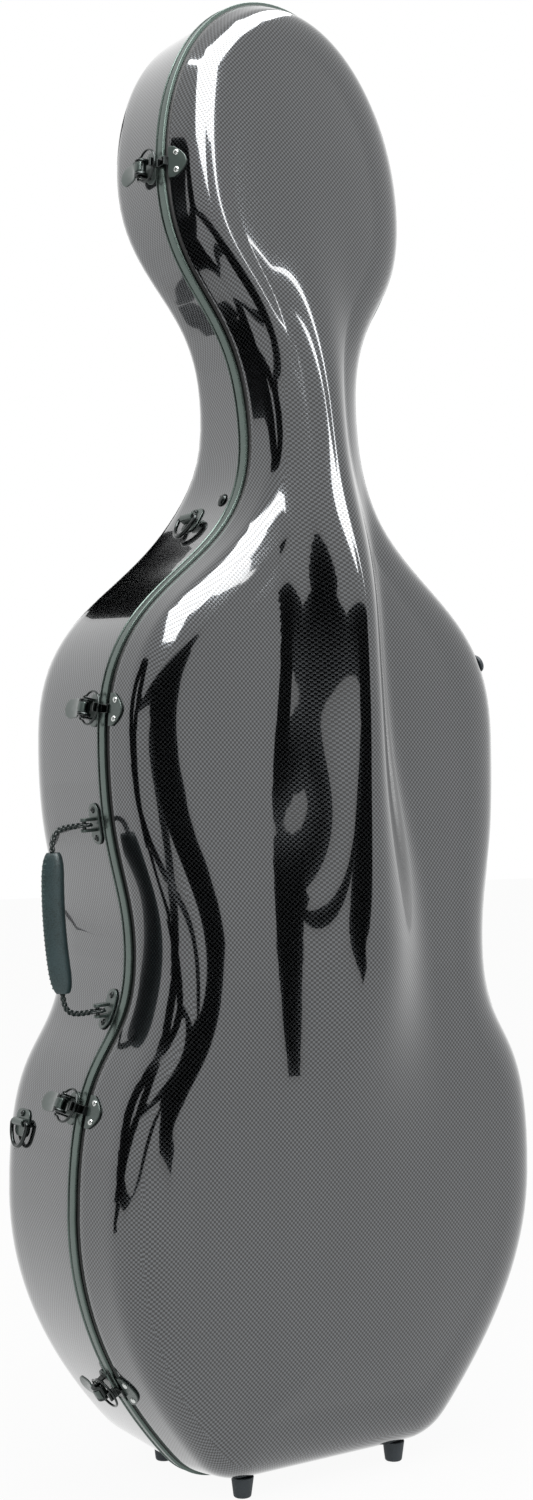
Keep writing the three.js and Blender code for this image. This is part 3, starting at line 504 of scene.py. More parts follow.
def mesh_object(name: str, points: np.ndarray, faces: np.ndarray | list, smooth: bool = True) -> Piece:
    """Makes an object from points in millimetres.

    Args:
        name: the piece's name.
        points: an array of points.
        faces: index lists of its faces.
        smooth: whether its faces are shaded smooth.

    Returns:
        The new object, linked to the scene.
    """
    mesh = bpy.data.meshes.new(name)
    mesh.from_pydata((np.asarray(points).reshape(-1, 3) * MM).tolist(), [], [list(map(int, f)) for f in faces])
    mesh.polygons.foreach_set("use_smooth", [smooth] * len(mesh.polygons))
    mesh.update()
    made = bpy.data.objects.new(name, mesh)
    bpy.context.scene.collection.objects.link(made)
    return made


def band_faces(rows: int, count: int, closed: bool = False) -> np.ndarray:
    """Index lists of the quads of a grid of points that closes round its rows.

    Args:
        rows: how many rows the grid has.
        count: how many points a row has.
        closed: whether the last row joins the first.

    Returns:
        One row of four indices for each quad.
    """
    r = np.arange(rows if closed else rows - 1)[:, None]
    i = np.arange(count)[None, :]
    following, below = (i + 1) % count, (r + 1) % rows * count
    quads = (r * count + i, r * count + following, below + following, below + i)
    return np.stack(np.broadcast_arrays(*quads), -1).reshape(-1, 4)


def outward(form_of: Piece, merge: bool = False) -> None:
    """Turns all faces of a piece outwards, and joins points that lie on each other if asked to.

    Args:
        form_of: the piece.
        merge: whether to join points.
    """
    form = bmesh.new()
    form.from_mesh(form_of.data)
    if merge:
        bmesh.ops.remove_doubles(form, verts=form.verts, dist=MERGE)
    bmesh.ops.recalc_face_normals(form, faces=form.faces)
    form.to_mesh(form_of.data)
    form.free()


def feed(tree: bpy.types.NodeTree, node: bpy.types.Node, links: dict) -> None:
    """Gives a node's inputs, by name or number, a value or an output socket each.

    Args:
        tree: the node tree.
        node: the node.
        links: a value or a socket for each input.
    """
    for key, value in links.items():
        if isinstance(value, Socket):
            tree.links.new(value, node.inputs[key])
        else:
            node.inputs[key].default_value = value


def add_node(tree: bpy.types.NodeTree, kind: str, links: dict | None = None, **settings: object) -> bpy.types.Node:
    """Adds a node with its settings and links.

    Args:
        tree: the node tree.
        kind: the node's type name, without the leading ShaderNode.
        links: a value or an output socket for each input, by name or number.
        settings: values of the node's own properties.

    Returns:
        The new node.
    """
    node = tree.nodes.new("ShaderNode" + kind)
    for key, value in settings.items():
        setattr(node, key, value)
    feed(tree, node, links or {})
    return node


class Recipe:
    """A material in the making: its node tree, its shader and the nodes that most finishes share."""

    def __init__(self, name: str) -> None:
        """Starts a bare principled material.

        Args:
            name: what the real material is.
        """
        self.made = bpy.data.materials.new(name)
        self.made.use_nodes = True
        self.tree = self.made.node_tree
        self.shader = self.tree.nodes["Principled BSDF"]

    def add(
        self, kind: str, links: dict | None = None, output: int | str = 0, **settings: object
    ) -> Socket:
        """Adds a node and gives one of its outputs, the first unless another is asked for."""
        return add_node(self.tree, kind, links, **settings).outputs[output]

    def math(self, operation: str, *values: object) -> Socket:
        """The result of a sum on one or two values."""
        return self.add("Math", dict(enumerate(values)), operation=operation)

    def ranged(self, value: object, low: float, high: float) -> Socket:
        """A value between zero and one, stretched between two others."""
        return self.add("MapRange", {0: value, 3: low, 4: high})

    def mix(self, share: object, first: object, second: object, blend: str = "MIX") -> Socket:
        """Two colours mixed."""
        return self.add("Mix", {0: share, 6: first, 7: second}, 2, data_type="RGBA", blend_type=blend)

    def noise(self, place: object, scale: float, detail: float) -> Socket:
        """Cloudy noise at a place, with its scale per metre."""
        return self.add("TexNoise", {0: place, "Scale": scale, "Detail": detail})

    def bump(self, height: object, strength: float, relief: float, **settings: object) -> Socket:
        """Normals of a relief, whose depth is in millimetres."""
        return self.add("Bump", {"Height": height, "Strength": strength, "Distance": relief * MM}, **settings)

    def finish(self, values: dict) -> Material:
        """Gives the shader its values and links, and returns the material."""
        feed(self.tree, self.shader, values)
        return self.made


@dataclass(frozen=True)
class CarbonWeave:
    """Plain-weave carbon cloth under clear lacquer: small grey and black squares below a mirror-smooth coat, painted as
    light and shade: tows of one black fibre, painted grey where they would mirror the light and near black where they
    would not.
    """

    name: str = "lacquered_carbon_cloth"
    tow: float = 2.1
    # Painted highlight and painted shade: the grey of the tows that would catch the light, and the near black of those
    # that would not, on one black fibre
    light: str = "5e6164"
    dark: str = "0c0d0e"
    metallic: float = 0.9
    roughness: float = 0.12
    relief: float = 0.02
    coat_ior: float = 1.75

    def build(self) -> Material:
        """Makes the material: the threads cross at the real tow width, each rises where it passes over, and its colour
        darkens towards its edges as painted shade.

        Returns:
            The material.
        """
        recipe = Recipe(self.name)
        place = recipe.add("UVMap", uv_map="weave")
        scaled = recipe.add("VectorMath", {0: place, "Scale": 1 / (self.tow * MM)}, operation="SCALE")
        parts = add_node(recipe.tree, "SeparateXYZ", {0: scaled}).outputs
        crowns, floors = [], []
        for axis in (0, 1):
            share = recipe.math("FRACT", parts[axis])
            hump = recipe.math("MULTIPLY", share, recipe.math("SUBTRACT", 1.0, share))
            crowns.append(recipe.math("MULTIPLY", hump, 4.0))
            floors.append(recipe.math("FLOOR", parts[axis]))
        over = recipe.math("FLOORED_MODULO", recipe.math("ADD", *floors), 2.0)
        pairs = (crowns, crowns[::-1])
        width, length = (recipe.add("Mix", {0: over, 2: one, 3: other}, data_type="FLOAT") for one, other in pairs)
        drift = recipe.ranged(recipe.add("TexNoise", {"Scale": 9.0, "Detail": 2.0}), 0.9, 1.08)
        # Painted shade: the colour darkens towards each tow's edges, where it curves away, times a random drift in tone
        shade = recipe.math("MULTIPLY", recipe.ranged(width, 0.72, 1.0), drift)
        # Painted highlight and shade: the tows that pass over are painted grey, the others near black
        threads = recipe.mix(over, linear(self.dark), linear(self.light))
        return recipe.finish({
            "Base Color": recipe.mix(1.0, threads, shade, "MULTIPLY"),
            "Normal": recipe.bump(recipe.math("ADD", width, length), 0.35, self.relief),
            "Metallic": self.metallic,
            "Roughness": self.roughness,
            "Coat Weight": 1.0,
            "Coat Roughness": 0.02,
            "Coat IOR": self.coat_ior,
        })


@dataclass(frozen=True)
class CoatedMetal:
    """A coated or plated metal: cast, drawn or rolled, with grain and a little wear in its gloss."""

    name: str
    colour: str
    roughness: float = 0.35
    metallic: float = 1.0
    grain: float = 0.4
    relief: float = 0.02
    coat: float = 0.0

    def build(self) -> Material:
        """Makes the material: a fine grain that breaks the gloss, and cloudy shade from handling.

        Returns:
            The material.
        """
        recipe = Recipe(self.name)
        place = recipe.add("TexCoord", output="Object")
        fine = recipe.noise(place, 1 / (self.grain * MM), 3.0)
        wide = recipe.noise(place, 60.0, 3.0)
        return recipe.finish({
            "Base Color": recipe.mix(1.0, linear(self.colour), recipe.ranged(wide, 0.82, 1.15), "MULTIPLY"),
            "Roughness": recipe.ranged(wide, self.roughness * 0.8, self.roughness * 1.25),
            "Normal": recipe.bump(fine, 0.3, self.relief),
            "Metallic": self.metallic,
            "Coat Weight": self.coat,
            "Coat Roughness": 0.08,
        })


@dataclass(frozen=True)
class SoftSurface:
    """Leather, velour, thread or rubber: a matt body with a pebble or pile in its relief."""

    name: str
    colour: str
    # The colour of the painted shade in the hollows of the grain
    dark: str
    roughness: float
    pebble: float
    relief: float
    sheen: float = 0.0
    blotch: float = 40.0

    def build(self) -> Material:
        """Makes the material: pebbles or pile at their real size, with painted shade that darkens the hollows, and
        sheen on pile.

        Returns:
            The material.
        """
        recipe = Recipe(self.name)
        place = recipe.add("TexCoord", output="Object")
        cells = recipe.add("TexVoronoi", {0: place, "Scale": 1 / (self.pebble * MM)}, feature="F1")
        wide = recipe.noise(place, self.blotch, 4.0)
        # Painted shade: the colour runs to the dark one in the hollows between pebbles
        hollow_shade = recipe.add("MapRange", {0: recipe.math("MULTIPLY", cells, wide), 1: 0.05, 2: 0.45, 3: 1.0, 4: 0.0})
        return recipe.finish({
            "Base Color": recipe.mix(hollow_shade, linear(self.dark), linear(self.colour)),
            "Roughness": recipe.ranged(wide, self.roughness * 0.85, min(self.roughness * 1.15, 1.0)),
            "Normal": recipe.bump(cells, 0.5, self.relief, invert=True),
            "Sheen Weight": self.sheen,
            "Sheen Roughness": 0.4,
            "Sheen Tint": linear(self.colour),
        })


class Finishes:
    """Every finish of the case, made once."""

    def __init__(self) -> None:
        """Builds the materials."""
        self.carbon = CarbonWeave().build()
        # Anodised aluminium, rolled and bent: a satin green-grey strip that shows soft lights as long streaks
        self.rim = CoatedMetal("anodised_aluminium_strip", "606c67", 0.26, 1.0, 0.3, 0.01).build()
        # Cast zinc, coated: green-grey, a little darker and glossier than the strip
        self.zinc = CoatedMetal("coated_cast_zinc", "4a5551", 0.42, 0.6, 0.5, 0.02, 0.5).build()
        # Black chrome on pressed steel: nearly black, with sharp small lights
        self.black_steel = CoatedMetal("black_chromed_steel", "2b302f", 0.16, 1.0, 0.6, 0.01, 0.5).build()
        # Bright chrome on steel screws and rivets: small sharp points of light
        self.chrome = CoatedMetal("chromed_steel", "c9cdca", 0.12, 1.0, 0.8, 0.005).build()
        # Moulded rubber: dark slate, matt, with a fine mould grain
        self.rubber = SoftSurface("moulded_rubber", "3a4247", "23292d", 0.62, 0.5, 0.03).build()
        # Extruded soft rubber: black and matt, it takes no light
        self.gasket = SoftSurface("extruded_soft_rubber", "1a1a1a", "0c0c0c", 0.55, 0.6, 0.02).build()
        # Grained calf leather, dyed dark green: small pebbles and a dull shine from the hand
        self.leather = SoftSurface("dyed_calf_leather", "33474a", "1b2b2b", 0.42, 1.1, 0.12).build()
        # Braided strands of waxed leather: darker and glossier than the grip
        self.braid = SoftSurface("waxed_leather_strands", "2a3534", "101817", 0.28, 0.9, 0.06).build()
        # Waxed linen thread, dark green: round stitches that catch the light
        self.thread = SoftSurface("waxed_linen_thread", "3d5450", "22332f", 0.5, 0.4, 0.05).build()
        # Short-pile velour: dark grey, with a soft bright edge where it turns away
        self.velour = SoftSurface("short_pile_velour", "4a4e54", "2d3034", 0.95, 0.7, 0.15, 0.7, 25.0).build()


def plan_edge(shape: np.ndarray) -> tuple[np.ndarray, float]:
    """The inward directions at a plan's corners, and 1 if the corners run counter-clockwise or -1.

    Args:
        shape: the plan's corners in order.

    Returns:
        One direction for each corner, and the turn.
    """
    along = around(shape)
    x, y = shape.T
    turn = float(np.sign(np.sum(x * np.roll(y, -1) - np.roll(x, -1) * y)))
    return unit(np.stack([-along[:, 1], along[:, 0]], 1)) * turn, turn


def ring_about(axis: np.ndarray, hint: tuple[float, float, float], sides: int) -> np.ndarray:
    """Points of a circle of radius one that stands square to an axis, from a direction that the axis doesn't have."""
    side = unit(np.cross(axis, hint))
    turns = full_turn(sides)[:, None]
    return side * np.cos(turns) + np.cross(axis, side) * np.sin(turns)


class Mould:
    """Gathers the points and faces of one piece, in the frame of its fitting."""

    STUD_SIDES = 28
    TUBE_SIDES = 36
    PLATE_STEP = 2.0
    FLAT_WEIGHT = 60
    # Shares of the way from a plate's middle to its edge, where its flat faces have rows
    SPOKES = (0.2, 0.45, 0.7, 0.9)

    def __init__(self, place: Matrix | None = None) -> None:
        """Starts an empty piece.

        Args:
            place: the fitting's frame, with its origin in millimetres.
        """
        self.place = np.array(place or Matrix.Identity(4), float)
        self.points: list[np.ndarray] = []
        self.faces: list[list[int]] = []
        self.slots: list[int] = []
        self.count = 0

    def to_frame(self, points: np.ndarray) -> np.ndarray:
        """Points of the CAD frame from points of the fitting's frame."""
        return points @ self.place[:3, :3].T + self.place[:3, 3]

    def add(self, points: np.ndarray, faces: list | np.ndarray, slot: int = 0, local: bool = True) -> None:
        """Adds a form.

        Args:
            points: its points, in the fitting's frame unless local is false.
            faces: index lists of its faces.
            slot: which of the piece's finishes it takes.
            local: whether the points are in the fitting's frame.
        """
        points = np.asarray(points, float).reshape(-1, 3)
        self.points.append(self.to_frame(points) if local else points)
        self.faces.extend([[int(i) + self.count for i in face] for face in faces])
        self.slots.extend([slot] * len(faces))
        self.count += len(points)

    def stack(self, rows: list[np.ndarray], slot: int = 0, local: bool = True, flip: bool = False) -> None:
        """Adds rings of points that lie on each other, with both ends closed.

        Args:
            rows: the rings, from one end to the other.
            slot: which finish the form takes.
            local: whether the points are in the fitting's frame.
            flip: whether the faces turn the other way.
        """
        count, last = len(rows[0]), (len(rows) - 1) * len(rows[0])
        faces = [list(f) for f in band_faces(len(rows), count)]
        faces += [list(range(count))[::-1], [last + i for i in range(count)]]
        self.add(np.concatenate(rows), [f[::-1] for f in faces] if flip else faces, slot, local)

    def prism(self, shape: np.ndarray, low: float, high: float, bevel: float, slot: int = 0, axes: str = "xyz") -> None:
        """Adds a plan shape, raised from one height to another, with its edges rounded.

        Args:
            shape: its corners in order.
            low: height of the underside.
            high: height of the top.
            bevel: radius of the rounded edges.
            slot: which finish it takes.
            axes: the letters of the two plan axes and the height axis.
        """
        shape = np.asarray(shape, float)
        inward, turn = plan_edge(shape)
        plans = [(shape + inward * bevel * (1 - math.sin(a)), low + bevel * (1 - math.cos(a))) for a in QUARTER]
        plans += [(shape + inward * bevel * (1 - math.cos(a)), high - bevel * (1 - math.sin(a))) for a in QUARTER]
        rows = []
        for plan, height in plans:
            row = np.zeros((len(shape), 3))
            row[:, ["xyz".index(a) for a in axes]] = np.column_stack([plan, np.full(len(shape), height)])
            rows.append(row)
        self.stack(rows, slot, flip=(axes in ("xyz", "yzx", "zxy")) != (turn > 0))

    def revolve(self, profile: Section, centre: tuple, sides: int = 48, slot: int = 0) -> None:
        """Adds a turned form that stands along the Z axis.

        Args:
            profile: radius and height of each ring, from one end to the other.
            centre: where height zero lies.
            sides: how many sides it has.
            slot: which finish it takes.
        """
        turns = full_turn(sides)
        rings = [np.column_stack([oval(0, 0, radius, radius, turns), np.full(sides, h)]) for radius, h in profile]
        self.stack([ring + np.array(centre, float) for ring in rings], slot)

    def slab(
        self, shape: np.ndarray, surface: Callable, low: float, high: float, bevel: float = 0.5, slot: int = 0
    ) -> None:
        """Adds a plate of even thickness that follows a curved surface.

        Args:
            shape: its plan, in the two coordinates of the surface.
            surface: gives a row of frame points for two coordinates and a height.
            low: height of the underside.
            high: height of the top.
            bevel: radius of its upper edge.
            slot: which finish it takes.
        """
        shape = dense(shape, self.PLATE_STEP)
        inward, _ = plan_edge(shape)
        centre = shape.mean(axis=0)
        top = shape + inward * bevel
        rows = [(centre + (shape - centre) * k, low) for k in self.SPOKES] + [(shape, low)]
        for a in QUARTER[:-1]:
            rows.append((shape + inward * bevel * (1 - math.cos(a)), high - bevel * (1 - math.sin(a))))
        rows += [(centre + (top - centre) * k, high) for k in (1.0, *self.SPOKES[::-1])]
        self.stack([surface(*plan.T, np.full(len(shape), float(height))) for plan, height in rows], slot, local=False)

    def stud(self, seat: "Seat", y: float, z: float, profile: Section, slot: int = 0) -> None:
        """Adds a turned form that stands square on a shell's side wall, such as a screw head.

        Args:
            seat: the place on the wall that y and z are measured from.
            y: distance back from there.
            z: distance along the outline from there.
            profile: radius and height of each ring, from the wall outwards.
            slot: which finish it takes.
        """
        base, tip = (seat.on_wall(np.array([y]), np.array([z]), np.array([h]))[0] for h in (0.0, 1.0))
        axis = unit(tip - base)
        ring = ring_about(axis, (0.2, 0.9, 0.3), self.STUD_SIDES)
        self.stack([base + axis * height + ring * radius for radius, height in profile], slot, local=False)

    def tube(self, inner: float, outer: float, low: float, high: float, slot: int = 0) -> None:
        """Adds a knuckle or bush about the frame's Z axis, with softened edges.

        Args:
            inner: radius of the bore.
            outer: radius of the outside.
            low: height of one end.
            high: height of the other.
            slot: which finish it takes.
        """
        section = softened([(inner, low), (outer, low), (outer, high), (inner, high)], 0.4)
        turns = full_turn(self.TUBE_SIDES)
        rows = [np.column_stack([oval(0, 0, r, r, turns), np.full(self.TUBE_SIDES, h)]) for r, h in section]
        self.add(np.concatenate(rows), band_faces(len(rows), self.TUBE_SIDES, closed=True), slot)

    def rod(self, start: tuple, end: tuple, radius: float, edge: float = 0.4, sides: int = 32, slot: int = 0) -> None:
        """Adds a round bar between two points, with rounded ends.

        Args:
            start: middle of one end.
            end: middle of the other.
            radius: its radius.
            edge: radius of its rounded ends.
            sides: how many sides it has.
            slot: which finish it takes.
        """
        start, end = np.array(start, float), np.array(end, float)
        along = unit(end - start)
        edge = min(edge, radius * 0.9)
        insets = [(radius - edge * (1 - math.sin(a)), edge * (1 - math.cos(a))) for a in QUARTER]
        ends = [(r, start + along * h) for r, h in insets] + [(r, end - along * h) for r, h in insets[::-1]]
        ring = ring_about(along, (0.3, 0.5, 0.8), sides)
        self.stack([middle + ring * r for r, middle in ends], slot)

    def sweep(
        self, path: np.ndarray, section: np.ndarray, closed: bool = False, slot: int = 0, local: bool = True,
        up: tuple = (0, 0, 1),
    ) -> None:
        """Carries a section along a path.

        Args:
            path: points of the path.
            section: the section's points, across and up.
            closed: whether the path is a loop.
            slot: which finish it takes.
            local: whether the path is in the fitting's frame.
            up: the direction that the section's second axis keeps to.
        """
        path, section = np.asarray(path, float), np.asarray(section, float)
        side, lift = path_frame(path, up, closed)
        rows = path[:, None] + side[:, None] * section[None, :, :1] + lift[:, None] * section[None, :, 1:]
        if closed:
            faces = [list(f)[::-1] for f in band_faces(len(path), len(section), closed=True)]
            self.add(rows, faces, slot, local)
        else:
            self.stack(list(rows), slot, local, flip=True)

    def cast(
        self, name: str, body: str, finishes: list[Material], slot_name: str, *nodes: str, weigh: bool = True
    ) -> Piece:
        """Makes the piece, lets it ride on its body and puts it in place of its CAD nodes.

        Args:
            name: the piece's name.
            body: the CAD body that it rides on.
            finishes: its materials.
            slot_name: the record's material slot.
            nodes: the CAD nodes that it stands for.
            weigh: whether flat faces keep their own shading.

        Returns:
            The new object.
        """
        made = mesh_object(name, np.concatenate(self.points), self.faces)
        outward(made)
        for finish in finishes:
            made.data.materials.append(finish)
        made.data.polygons.foreach_set("material_index", self.slots)
        if weigh:
            modifier = made.modifiers.new("weighted", "WEIGHTED_NORMAL")
            modifier.weight = self.FLAT_WEIGHT
            modifier.keep_sharp = True
        settle(made, body, slot_name, *nodes)
        return made


def path_frame(path: np.ndarray, up: tuple, closed: bool) -> tuple[np.ndarray, np.ndarray]:
    """The directions across and up, at each point of a path.

    Args:
        path: the path's points.
        up: the direction that the second one keeps to.
        closed: whether the path is a loop.

    Returns:
        Both directions, one row for each point.
    """
    along = unit(around(path) if closed else np.gradient(path, axis=0))
    side = unit(np.cross(along, np.array(up, float)))
    return side, np.cross(side, along)


def settle(piece: Piece, body: str, slot_name: str, *nodes: str) -> None:
    """Lets a piece ride on its body and puts it in place of its CAD nodes.

    Args:
        piece: the piece.
        body: the CAD body that it rides on.
        slot_name: the record's material slot; not used.
        nodes: the CAD nodes that it stands for.
    """
    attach(piece, body)
    if nodes:
        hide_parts(*nodes)
    log.info("made %s on %s, for %s", piece.name, body, ", ".join(nodes) or "no node")


def circle(radius: float, sides: int = 16) -> np.ndarray:
    """Points of a circle."""
    return oval(0, 0, radius, radius, full_turn(sides))


def rounded(low: tuple[float, float], high: tuple[float, float], radius: float, steps: int = 8) -> np.ndarray:
    """Corners of a rectangle with round corners, counter-clockwise.

    Args:
        low: lowest corner.
        high: highest corner.
        radius: radius of the corners.
        steps: steps of each corner.

    Returns:
        One corner a row.
    """
    radius = min(radius, (high[0] - low[0]) / 2 - 1e-3, (high[1] - low[1]) / 2 - 1e-3)
    left, right, foot, top = low[0] + radius, high[0] - radius, low[1] + radius, high[1] - radius
    centres = ((right, top, 0), (left, top, 90), (left, foot, 180), (right, foot, 270))
    return np.concatenate([oval(x, y, radius, radius, angles(a, a + 90, steps + 1)) for x, y, a in centres])


def mirrored_span(way: int, near: float, far: float) -> tuple[float, float]:
    """A span of distances that lies on one side of zero, with its lower end first."""
    low, high = sorted((way * near, way * far))
    return low, high


def dense(shape: np.ndarray, step: float) -> np.ndarray:
    """Adds points along the long sides of a shape, so that no side is longer than a step.

    Args:
        shape: the shape's corners in order.
        step: the longest side allowed.

    Returns:
        The corners and the points between them.
    """
    points = []
    for start, end in zip(shape, np.roll(shape, -1, axis=0)):
        parts = max(1, math.ceil(float(np.linalg.norm(end - start)) / step))
        points.extend(start + (end - start) * k / parts for k in range(parts))
    return np.array(points)


def softened(section: Section, radius: float, steps: int = 3) -> Section:
    """Rounds the corners of a section.

    Args:
        section: its corners in order.
        radius: how far from each corner the round begins.
        steps: how many steps each round has.

    Returns:
        The rounded section's points.
    """
    corners = np.array(section, float)
    points = []
    for k, corner_of in enumerate(corners):
        ends = []
        for other in (corners[k - 1], corners[(k + 1) % len(corners)]):
            reach = np.linalg.norm(other - corner_of)
            ends.append(corner_of + (other - corner_of) / reach * min(radius, reach * 0.45))
        points += [tuple(quadratic(ends[0], corner_of, ends[1], t)) for t in np.linspace(0, 1, steps + 1)]
    return points


@dataclass
class Skins:
    """Builds the closed pieces that follow the case's form, from their rows of points."""

    loft: Loft

    def close(
        self, name: str, rows: np.ndarray, places: np.ndarray | None = None, tube: bool = False
    ) -> Piece:
        """Makes a closed piece of rows of points.

        Args:
            name: the piece's name.
            rows: rows of points, each round the whole outline.
            places: texture places in millimetres for the corners of each face.
            tube: whether the last row joins the first.

        Returns:
            The new object.
        """
        made = mesh_object(name, rows, band_faces(len(rows), rows.shape[1], closed=tube))
        if places is not None:
            layer = made.data.uv_layers.new(name="weave")
            layer.data.foreach_set("uv", (places * MM).ravel())
        outward(made, merge=True)
        return made

    def edge_rows(self, side: Half, section: Section) -> np.ndarray:
        """Rows that run round the edge, from a section of offsets and depths."""
        return np.stack([self.loft.edge_row(side, offset, depth) for offset, depth in section])

    def ring(
        self, name: str, side: Half, section: Section, finish: Material, slot_name: str,
        node: str,
    ) -> None:
        """Makes a profile that runs round the edge, from its section of offsets and depths."""
        made = self.close(name, self.edge_rows(side, section), tube=True)
        self.dress(made, side, finish, slot_name, node)

    @staticmethod
    def dress(piece: Piece, side: Half, finish: Material, slot_name: str, node: str) -> None:
        """Gives a piece its finish and puts it in place of its CAD node."""
        piece.data.materials.append(finish)
        settle(piece, side.body, slot_name, node)


@dataclass
class Shells(Skins):
    """The two carbon shells: a smooth outside, a rounded edge at the seam and the inside a wall's thickness away."""

    finish: Material
    wall: float = 2.5
    lip: float = 0.7
    edges: dict = field(default_factory=lambda: {Half.BACK: 1.8, Half.LID: 3.8})
    wall_rows: int = 6
    round_rows: int = 13
    face_rows: int = 20

    def build(self) -> None:
        """Builds and dresses both shells."""
        for side, edge in self.edges.items():
            outer = self.loft.skin(side, edge + self.lip, self.wall_rows, self.round_rows, self.face_rows)
            inner = self.loft.thinned(outer, side, self.wall, edge + self.lip)
            lips = [(self.lip * (1 - math.cos(a)), edge + self.lip * (1 - math.sin(a))) for a in QUARTER[1:]]
            ends = [(self.wall - offset, depth) for offset, depth in lips[::-1]]
            edge_rows = self.edge_rows(side, lips + ends)
            rows = np.concatenate([outer[::-1], edge_rows, inner])
            flat_from = self.wall_rows + self.round_rows // 2
            middle = len(outer) + len(edge_rows) / 2 - 0.5
            faced = np.abs(np.arange(len(rows) - 1) + 0.5 - middle) > len(edge_rows) / 2 + flat_from
            node = side.body + "_shell"
            self.dress(self.close(node + "_skin", rows, self._weave(rows, faced)), side, self.finish, "carbon", node)

    def _weave(self, rows: np.ndarray, faced: np.ndarray) -> np.ndarray:
        """Places of the cloth at the corners of each face: laid flat on the face, and wrapped round the side walls.

        Args:
            rows: the rows of points of a shell.
            faced: for each band between two rows, whether its cloth lies flat.

        Returns:
            Two places in millimetres for each corner of each face.
        """
        count, arc = rows.shape[1], self.loft.arc
        turn = len(arc)
        column = np.arange(count)
        right = column < turn - 1
        start = np.where(right, arc[np.minimum(column, turn - 1)], -arc[(count - column) % count % turn])
        end = np.where(right, arc[np.minimum(column + 1, turn - 1)], -arc[np.maximum(count - column - 1, 0) % turn])
        steps = np.linalg.norm(np.diff(rows, axis=0), axis=2)
        down = np.concatenate([np.zeros((1, count)), np.cumsum(steps, axis=0)])
        following = (column + 1) % count
        flat = rows[..., [0, 2]]
        corners = ((start, down[:-1]), (end, down[:-1, following]), (end, down[1:, following]), (start, down[1:]))
        walls = np.stack([np.stack([np.broadcast_to(x, depth.shape), depth], -1) for x, depth in corners], 2)
        faces = np.stack([flat[:-1], flat[:-1, following], flat[1:, following], flat[1:]], 2)
        return np.where(faced[:, None, None, None], faces, walls)


@dataclass
class Rim(Skins):
    """The metal profiles and the rubber seal that run round the seam."""

    finishes: Finishes
    rail_out: float = 2.3
    bead_out: float = 3.2
    rail_width: float = 12.5
    rail_gap: float = 0.3
    web: float = 1.5
    inside: float = 7.0
    seal_width: float = 2.6
    seal_crown: float = 1.2
    lid_offset: float = 3.0
    lid_wall: float = 2.0
    lid_edge: float = 3.8
    lid_width: float = 9.0

    def build(self) -> None:
        """Builds the back shell's rail with its rolled bead, the seal and the lid's inner strip."""
        rim, gap = self.finishes.rim, self.rail_gap
        bead = (self.bead_out - gap) / 2 * 0.9
        out, deep = -self.bead_out + bead, self.rail_width - bead
        roll = [(out + bead * math.sin(a), deep - bead * math.cos(a)) for a in angles(-65, -270, 10)]
        wall = [
            (-gap, self.rail_width), (-gap, self.web), (self.inside, self.web),
            (self.inside, 0), (-self.rail_out, 0), (-self.rail_out, deep - bead * 1.02),
        ]
        self.ring("rim_rail", Half.BACK, softened(wall, 0.45) + roll, rim, "rim_metal", "back_rim_profile")
        half, foot = self.seal_width / 2, self.lid_edge - gap
        crown = [(half * (1 - math.cos(a)), gap + self.seal_crown * (1 - math.sin(a))) for a in angles(0, 180, 9)]
        crown += [(self.seal_width, foot), (0, foot)]
        self.ring("rim_seal", Half.LID, crown, self.finishes.gasket, "gasket", "rim_gasket")
        near, far = self.lid_offset, self.lid_offset + self.lid_wall
        low, high = self.lid_edge, self.lid_edge + self.lid_width
        strip = softened([(near, low), (near, high), (far, high), (far, low)], 0.5)
        self.ring("lid_strip", Half.LID, strip, rim, "rim_metal", "lid_rim_profile")


@dataclass
class Linings(Skins):
    """The padded linings, glued into both shells: foam under velour, with a rolled edge."""

    finish: Material
    offset: float = 3.0
    wall: float = 4.0
    edges: dict = field(default_factory=lambda: {Half.BACK: 1.8, Half.LID: 13.1})
    roll: float = 1.9

    def build(self) -> None:
        """Builds both linings."""
        reach = self.wall / 2
        for side, start in self.edges.items():
            edge = start + self.roll
            skin = self.loft.skin(side, edge)
            outer, inner = (self.loft.thinned(skin, side, self.offset + w, edge) for w in (0, self.wall))
            turns = angles(0, 180, 9)[1:-1]
            roll = [(self.offset + reach * (1 - math.cos(a)), edge - self.roll * math.sin(a)) for a in turns]
            node = side.body + "_lining"
            made = self.close(node + "_velour", np.concatenate([outer[::-1], self.edge_rows(side, roll), inner]))
            self.dress(made, side, self.finish, "lining", node)


def axes_frame(x: Vector, y: Vector, z: Vector, origin: Vector) -> Matrix:
    """A frame from its axes and its origin in millimetres."""
    made = Matrix((x, y, z)).transposed().to_4x4()
    made.translation = origin
    return made


@dataclass(frozen=True)
class Seat:
    """A place on a side wall: X points out of the case, Y to the back, and Z runs along the outline."""

    loft: Loft
    shell: Half
    hand: int
    height: float
    depth: float = 0.0

    def matrix(self) -> Matrix:
        """The place as a frame, with its origin in millimetres.

        Returns:
            The frame, turned as the wall is.
        """
        loft = self.loft
        x, _, nx, nz = (float(v) for v in loft.edge_at(loft.arc_at(self.height)))
        draft = float(loft.draft(self.shell, self.height))
        tilt = math.atan(draft) if self.depth else 0.0
        out = Vector((self.hand * nx * math.cos(tilt), self.shell.value * math.sin(tilt), nz * math.cos(tilt)))
        along = Vector((-nz, loft.lean_slope(self.height) * self.hand * nx, self.hand * nx))
        out.normalize()
        rear = along.cross(out).normalized()
        inset = self.depth * draft
        place = loft.place(self.shell, self.hand * (x - nx * inset), self.depth, self.height - nz * inset)
        return axes_frame(out, rear, out.cross(rear), Vector(place))

    def on_wall(self, y: np.ndarray, z: np.ndarray, rise: np.ndarray) -> np.ndarray:
        """Points above the wall, by their distance back from the place and along the outline from it."""
        arc = self.loft.arc_at(self.height) + self.hand * np.asarray(z, float)
        depth = self.depth + self.shell.value * np.asarray(y, float)
        return self.loft.wall_point(self.shell, self.hand, arc, depth, rise)


def joint_line(name: str) -> tuple[Vector, Vector]:
    """The place of a joint of the frame, in millimetres, and the direction of its axis."""
    found = next(j for j in frame["joints"] if j["name"] == name)
    return Vector(found["pos_m"]) / MM, Vector(found["axis"]).normalized()


